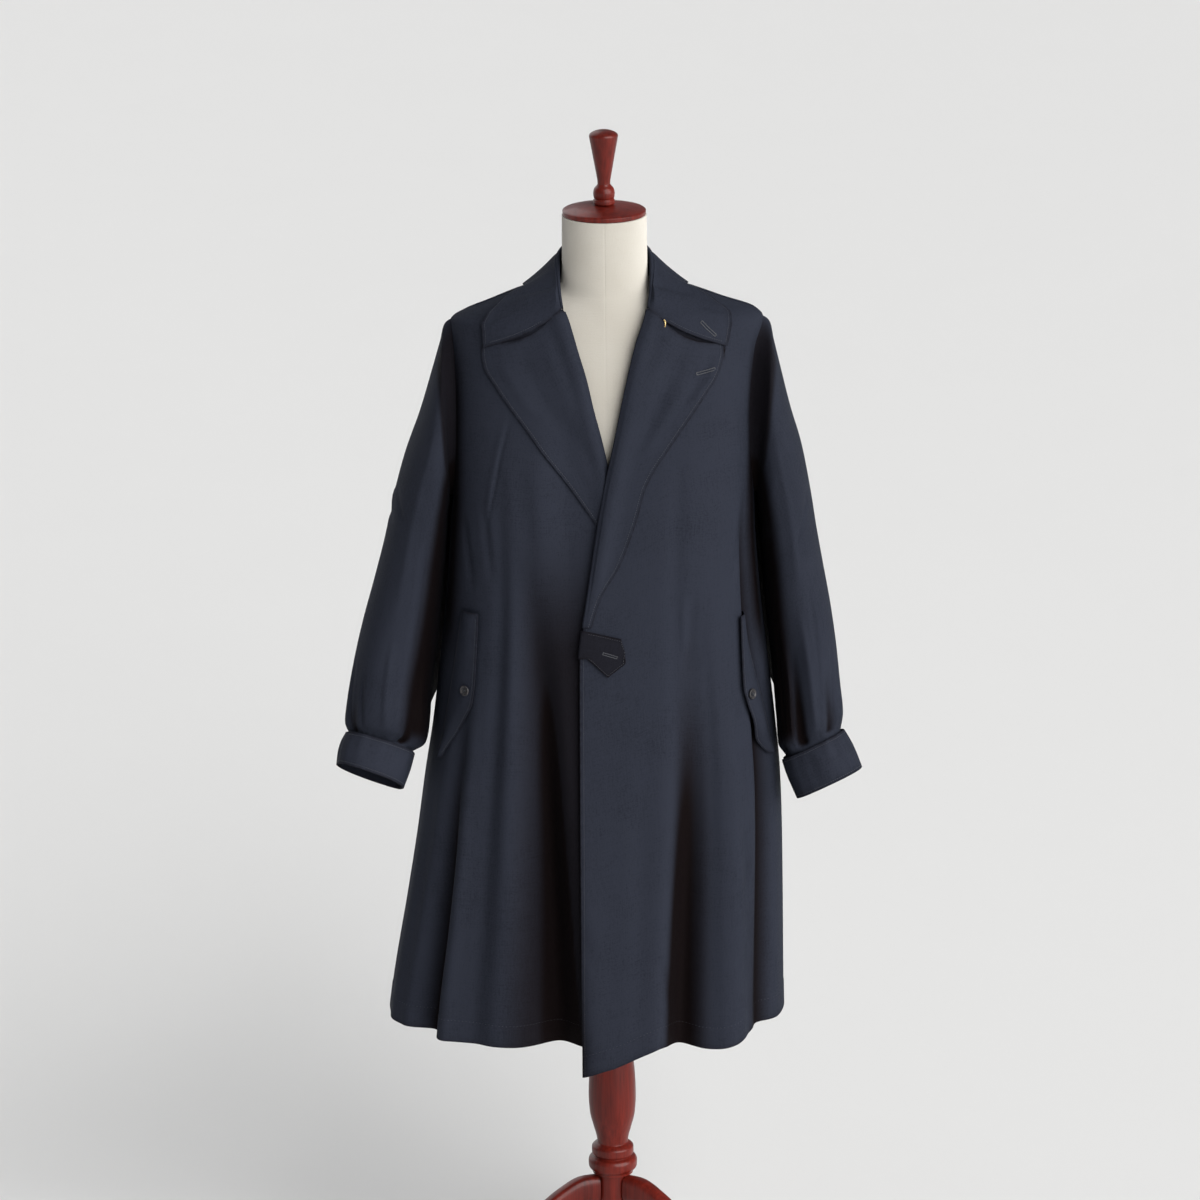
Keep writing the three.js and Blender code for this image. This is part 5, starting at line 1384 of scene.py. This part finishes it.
class OvercoatStage(bpy.types.PropertyGroup):
    window: FloatProperty(name="Window light", description="Strength of the broad even light",
                          default=4.5)
    rear: FloatProperty(name="Rear light", description="Strength of the light behind the coat",
                        default=1.1)
    key: FloatProperty(name="Key light", description="Power of the light at the wearer's left",
                       default=120, unit="POWER")
    sky: FloatProperty(name="Room light", description="Strength of the light from all round",
                       default=0.20, min=0)


MAKERS = {
    "coat_cloth": coat_cloth, "calico": calico, "turned_wood": mahogany, "button": horn,
    "brass": worn_brass, "floor": pale_floor,
    "thread": lambda colours: thread_finish("thread", colours.thread),
    "hole_thread": lambda colours: thread_finish("hole_thread", colours.hole_thread),
}
FINISHES = {}


def finish_of(name):
    """A finish, made at its first use from the scene's colours."""
    if name not in FINISHES:
        FINISHES[name] = MAKERS[name](bpy.context.scene.overcoat_colours)
    return FINISHES[name]


# ---- Operators ----
class OVERCOAT_OT_body(bpy.types.Operator):
    """Cuts the back and the two fronts, with their folds, hem and seams"""

    bl_idname = "overcoat.body"
    bl_label = "Back and fronts"

    def execute(self, context):
        sizes, cloth = context.scene.overcoat_sizes, finish_of("coat_cloth")
        hem, wall = sizes.hem / MM, sizes.cloth / MM
        grid, flat = back_grid(hem)
        cut = {"node": "back", "held": "hung", "rests_on": ["form_body"]}
        cloth_piece("coat_back", grid, wall, cloth, cut, flat=flat, shaded_edges=("top",),
                    folded=painted_shade_marks(grid))
        for word, side in SIDES.items():
            grid, flat = front_grid(word, hem)
            cut = {"node": f"front_{word}", "held": "hung", "rests_on": ["form_body", "coat_back"]}
            cloth_piece(f"coat_front_{word}", grid, wall, cloth, cut, turned=side, flat=flat,
                        shaded_edges=("left", "top"), folded=painted_shade_marks(grid, side))
        return {"FINISHED"}


class OVERCOAT_OT_lapels(bpy.types.Operator):
    """Turns back the lapels and lays the collar and the front tab"""

    bl_idname = "overcoat.lapels"
    bl_label = "Lapels, collar and tab"

    def execute(self, context):
        wall = context.scene.overcoat_sizes.cloth / MM
        cloth = finish_of("coat_cloth")
        for word, side in SIDES.items():
            cut = {"node": f"lapel_{word}", "held": "folded", "rests_on": [f"coat_front_{word}"]}
            cloth_piece(f"coat_lapel_{word}", lapel_grid(word, wall), wall, cloth, cut,
                        turned=-side)
        cut = {"node": "collar", "held": "folded", "rests_on": ["form_body", "coat_back"]}
        cloth_piece("coat_collar", collar_grid(), wall, cloth, cut, turned=-1)
        cut = {"node": "front_tab", "held": "laid", "rests_on": ["coat_front_left"]}
        tab = tab_grid(wall)
        # The whole tab is darkened towards the painted shade tone.
        cloth_piece("coat_tab", tab, FLAP_CLOTH, cloth, cut, turned=-1,
                    folded=mark(tab, TAB_SHADE))
        return {"FINISHED"}


class OVERCOAT_OT_sleeves(bpy.types.Operator):
    """Hangs the sleeves and gathers them into their cuffs"""

    bl_idname = "overcoat.sleeves"
    bl_label = "Sleeves and cuffs"

    def execute(self, context):
        wall = context.scene.overcoat_sizes.cloth / MM
        cloth = finish_of("coat_cloth")
        for word, side in SIDES.items():
            cut = {"node": f"sleeve_{word}", "held": "hung",
                   "rests_on": [f"coat_front_{word}", "coat_back"]}
            grid, folded = sleeve_grid(word, wall)
            cloth_piece(f"coat_sleeve_{word}", grid, wall, cloth, cut, loop=True, turned=side,
                        shaded_edges=(), edge=0.06, folded=folded)
            cut = {"node": f"cuff_{word}", "held": "gathered", "rests_on": [f"coat_sleeve_{word}"]}
            cloth_piece(f"coat_cuff_{word}", cuff_grid(word), CUFF_CLOTH, cloth, cut, turned=side)
        return {"FINISHED"}


class OVERCOAT_OT_pockets(bpy.types.Operator):
    """Sews on the pocket flaps with their buttons, and the throat hook"""

    bl_idname = "overcoat.pockets"
    bl_label = "Pocket flaps, buttons and hook"

    def execute(self, context):
        for word, side in SIDES.items():
            cut = {"node": f"pocket_flap_{word}", "held": "laid",
                   "rests_on": [f"coat_front_{word}"]}
            cloth_piece(f"coat_flap_{word}", flap_grid(word), FLAP_CLOTH, finish_of("coat_cloth"),
                        cut, turned=side)
            sew_button(word, finish_of("button"), finish_of("thread"))
        row = row_at(HOOK, np.linspace(0, 1, 40))
        wire = on_coat(angle_at(row["x"], row["z"]), row["z"], row["out"])
        declare(tube_mesh("hook", [wire], 0.95, finish_of("brass"), 14), "throat_hook")
        return {"FINISHED"}


class OVERCOAT_OT_sewing(bpy.types.Operator):
    """Stitches the edges and hems and works the buttonholes"""

    bl_idname = "overcoat.sewing"
    bl_label = "Stitches and buttonholes"

    def execute(self, context):
        sizes = context.scene.overcoat_sizes
        pitch, thick = sizes.pitch / MM, sizes.thread / MM
        thread = finish_of("thread")

        def line(piece, edge, inset, trim=(3, 3), turned=-1):
            return stitch_line(SEWN[f"coat_{piece}"], edge, inset, trim, turned)

        groups = {
            "sewing_lapels": [line(f"lapel_{word}", "right", 4.5, turned=-side)
                              for word, side in SIDES.items()],
            "sewing_collar": [line("collar", "right", 4.5)]
                             + [line("collar", edge, 4.5, (24, 3)) for edge in ("top", "bottom")],
            "sewing_tab": [line("tab", "right", 2.5, (2, 2))]
                          + [line("tab", edge, 2.5, (12, 2)) for edge in ("top", "bottom")],
            "sewing_front": [stitch_line(SEWN["coat_front_left"][:94], "left", 5, (1, 3), 1)],
            "sewing_flaps": [line(f"flap_{word}", edge, 3, turned=side)
                             for word, side in SIDES.items() for edge in ("right", "left")],
            "sewing_cuffs": [line(f"cuff_{word}", edge, 3.5, turned=side)
                             for word, side in SIDES.items() for edge in ("top", "bottom")],
        }
        for name, lines in groups.items():
            sew(name, lines, thread, pitch, pitch * 0.72, thick, thick * 0.7)
        hems = [line(piece, "top", sizes.hem / MM, (1, 1), turned)
                for piece, turned in (("front_right", -1), ("front_left", 1), ("back", 1))]
        sew("sewing_hem", hems, thread, pitch * 1.6, 1.6, thick * 0.8, thick * 0.5)
        self.work_buttonholes()
        return {"FINISHED"}

    def work_buttonholes(self):
        lines = []
        for hole in rows_of(BUTTONHOLES):
            start, end = (np.array([hole[f"{k}_x"], hole[f"{k}_z"]]) for k in ("start", "end"))
            way = unit(end - start)
            aside = np.array([-way[1], way[0]]) * 1.5
            corners = [start + aside, end + aside, end - aside, start - aside, start + aside]
            ring = np.concatenate([mix(a, b, np.linspace(0, 1, 16)[:, None])
                                   for a, b in zip(corners[:-1], corners[1:])])
            angle = angle_at(ring[:, 0], ring[:, 1])
            lines.append(surface_line(angle, ring[:, 1], hole["lift"] + 0.35))
        sew("buttonholes", lines, finish_of("hole_thread"), 0.75, 0.8, 1.7, 0.7)


class OVERCOAT_OT_form(bpy.types.Operator):
    """Covers the dress form with calico, with its seams"""

    bl_idname = "overcoat.form"
    bl_label = "Dress form"

    def execute(self, context):
        heights = np.linspace(FORM["z"][0], FORM["z"][-1], 210)
        heights = np.unique(np.concatenate([heights, NECK_SEAM_Z + SEAM_STEPS]))
        turn = np.linspace(0, 2 * np.pi, 220, endpoint=False)
        near = np.radians([-0.8, -0.4, 0.4, 0.8])
        turn = np.sort(np.concatenate([turn, near % (2 * np.pi), np.pi + near]))[None, :]
        z = heights[:, None]
        power = 2 / along(FORM, "z", z, "power")
        x = np.sign(np.sin(turn)) * along(FORM, "z", z, "half") * np.abs(np.sin(turn)) ** power
        front, back = (along(FORM, "z", z, name) for name in ("front", "back"))
        deep = np.where(np.cos(turn) > 0, -front, back)
        grid = points(x, deep * np.abs(np.cos(turn)) ** power, z)
        seams = -0.3 * np.exp(-(x / 0.8) ** 2)
        seams = seams - 0.4 * np.exp(-((z - NECK_SEAM_Z - 5 * np.cos(turn) ** 2) / 0.8) ** 2)
        grid = grid + unit(grid * [1, 1, 0]) * (seams - 0.2)[..., None]
        form = make_mesh("form_cover", *capped(grid), finish_of("calico"))
        declare(form, "form_body")
        return {"FINISHED"}


class OVERCOAT_OT_stand(bpy.types.Operator):
    """Turns the cap, finial and column, and shapes the legs"""

    bl_idname = "overcoat.stand"
    bl_label = "Turned stand"

    def execute(self, context):
        for node, rows, segments in (("form_cap", CAP, 128), ("form_finial", FINIAL, 72),
                                     ("stand_column", COLUMN, 96)):
            row = row_at(rows, np.linspace(0, 1, 5 * len(rows["z"]) - 4))
            self.add(f"turned_{node}", lathe(row, segments), node)
        for k in range(3):
            shape = capped(self.leg(math.radians(BACK_LEG_ANGLE + 120 * k)))
            self.add(f"shaped_leg_{k + 1}", shape, f"stand_leg_{k + 1}")
        return {"FINISHED"}

    def add(self, name, shape, node):
        made = make_mesh(name, *shape, finish_of("turned_wood"), sharp=40)
        declare(made, node)

    def leg(self, direction):
        """Rings of a leg from the hub to its flat foot."""
        row = row_at(LEG, np.linspace(0, 1, 50))
        turn = np.linspace(0, 2 * np.pi, 32, endpoint=False)[None, :]
        tall, wide = (np.sign(v) * np.abs(v) ** 0.6 for v in (np.cos(turn), np.sin(turn)))
        slope = np.arctan2(np.gradient(row["z"]), np.gradient(row["reach"]))
        slope = (slope * smooth(np.linspace(0, 8, 50)))[:, None]
        rise = tall * row["tall"][:, None]
        reach = row["reach"][:, None] - np.sin(slope) * rise
        height = row["z"][:, None] + np.cos(slope) * rise
        side = wide * row["wide"][:, None]
        foot_reach = LEG_FOOT["reach"] + tall * LEG_FOOT["half"]
        foot_side = wide * LEG_FOOT["half"] * 0.85
        t = np.linspace(0, 1, 6)[1:, None]
        reach = np.concatenate([reach, mix(reach[-1:], foot_reach, t)])
        side = np.concatenate([side, mix(side[-1:], foot_side, t)])
        height = np.concatenate([height, mix(height[-1:], 0, t)])
        return points(reach * math.cos(direction) - side * math.sin(direction),
                      reach * math.sin(direction) + side * math.cos(direction), height)


class OVERCOAT_OT_stage(bpy.types.Operator):
    """Lays the pale floor and sets the lights and the camera"""

    bl_idname = "overcoat.stage"
    bl_label = "Floor, lights and camera"

    def execute(self, context):
        self.floor()
        settings = context.scene.overcoat_stage
        self.lamp("window", "SUN", (3.7, -4.0, 3.6), settings.window, angle=math.radians(62),
                  color=(1.0, 0.99, 0.98))
        self.lamp("rear", "SUN", (-3.5, 4.6, 3.6), settings.rear, angle=math.radians(60))
        self.lamp("key", "AREA", (8.5, -2.6, 2.7), settings.key, shape="DISK", size=3.5)
        world = bpy.data.worlds.new("room")
        world.use_nodes = True
        background = world.node_tree.nodes["Background"]
        background.inputs["Color"].default_value = (0.93, 0.95, 1.0, 1)
        background.inputs["Strength"].default_value = settings.sky
        context.scene.world = world
        context.scene.view_settings.view_transform = "Standard"
        self.camera(context)
        return {"FINISHED"}

    def floor(self):
        rows = table("r z", (FLOOR_RADIUS, -40), (FLOOR_RADIUS, 0))
        make_mesh("floor", *lathe(rows, 96), finish_of("floor"))

    def lamp(self, name, kind, place, power, **settings):
        """A light that faces the middle of the coat."""
        light = bpy.data.lights.new(name, kind)
        light.energy = power
        for label, value in settings.items():
            setattr(light, label, value)
        lamp = placed(name, light)
        look = np.array([0, 0, 1.0]) - np.array(place)
        lamp.location = place
        lamp.rotation_mode = "QUATERNION"
        lamp.rotation_quaternion = Matrix(self.axes(look)).transposed().to_quaternion()

    def axes(self, look):
        """The right, up and back directions of something that looks one way."""
        back = -unit(np.asarray(look, float))
        right = unit(np.cross([0, 0, 1.0], back))
        return [right, np.cross(back, right), back]

    def camera(self, context):
        tilt, roll = math.radians(CAMERA["elevation"]), CAMERA["roll"]
        look = np.array([0, math.cos(tilt), -math.sin(tilt)])
        right, up, back = self.axes(look)
        turned = [right * math.cos(roll) - up * math.sin(roll),
                  right * math.sin(roll) + up * math.cos(roll), back]
        place = (np.array(CAMERA["target"]) + back * CAMERA["distance"]) * MM + AXIS
        data = bpy.data.cameras.new("camera")
        data.sensor_width = CAMERA["sensor"]
        data.lens = CAMERA["distance"] / CAMERA["scale"] / CAMERA["pixels"] * CAMERA["sensor"]
        data.clip_end = CAMERA["sees"]
        camera = placed("camera", data)
        spin = Matrix(turned).transposed().to_4x4()
        camera.matrix_world = Matrix.Translation(place) @ spin
        context.scene.camera = camera


class OVERCOAT_PT_panel(bpy.types.Panel):
    """Sizes, colours and steps of the overcoat"""

    bl_label = "Overcoat"
    bl_idname = "OVERCOAT_PT_panel"
    bl_space_type = "VIEW_3D"
    bl_region_type = "UI"
    bl_category = "Overcoat"

    def draw(self, context):
        for group in (context.scene.overcoat_sizes, context.scene.overcoat_colours,
                      context.scene.overcoat_stage):
            for name in type(group).__annotations__:
                self.layout.prop(group, name)
        for operator in OPERATORS:
            self.layout.operator(operator.bl_idname)


GROUPS = {"overcoat_sizes": OvercoatSizes, "overcoat_colours": OvercoatColours,
          "overcoat_stage": OvercoatStage}
OPERATORS = (OVERCOAT_OT_body, OVERCOAT_OT_lapels, OVERCOAT_OT_sleeves, OVERCOAT_OT_pockets,
             OVERCOAT_OT_sewing, OVERCOAT_OT_form, OVERCOAT_OT_stand, OVERCOAT_OT_stage)


def register():
    for item in (*GROUPS.values(), *OPERATORS, OVERCOAT_PT_panel):
        bpy.utils.register_class(item)
    for name, group in GROUPS.items():
        setattr(bpy.types.Scene, name, PointerProperty(type=group))


def unregister():
    for name in GROUPS:
        delattr(bpy.types.Scene, name)
    for item in (OVERCOAT_PT_panel, *reversed(OPERATORS), *GROUPS.values()):
        bpy.utils.unregister_class(item)


def main():
    register()
    for operator in OPERATORS:
        group, action = operator.bl_idname.split(".")
        getattr(getattr(bpy.ops, group), action)()
    bpy.context.view_layer.update()


if __name__ == "__main__":
    main()
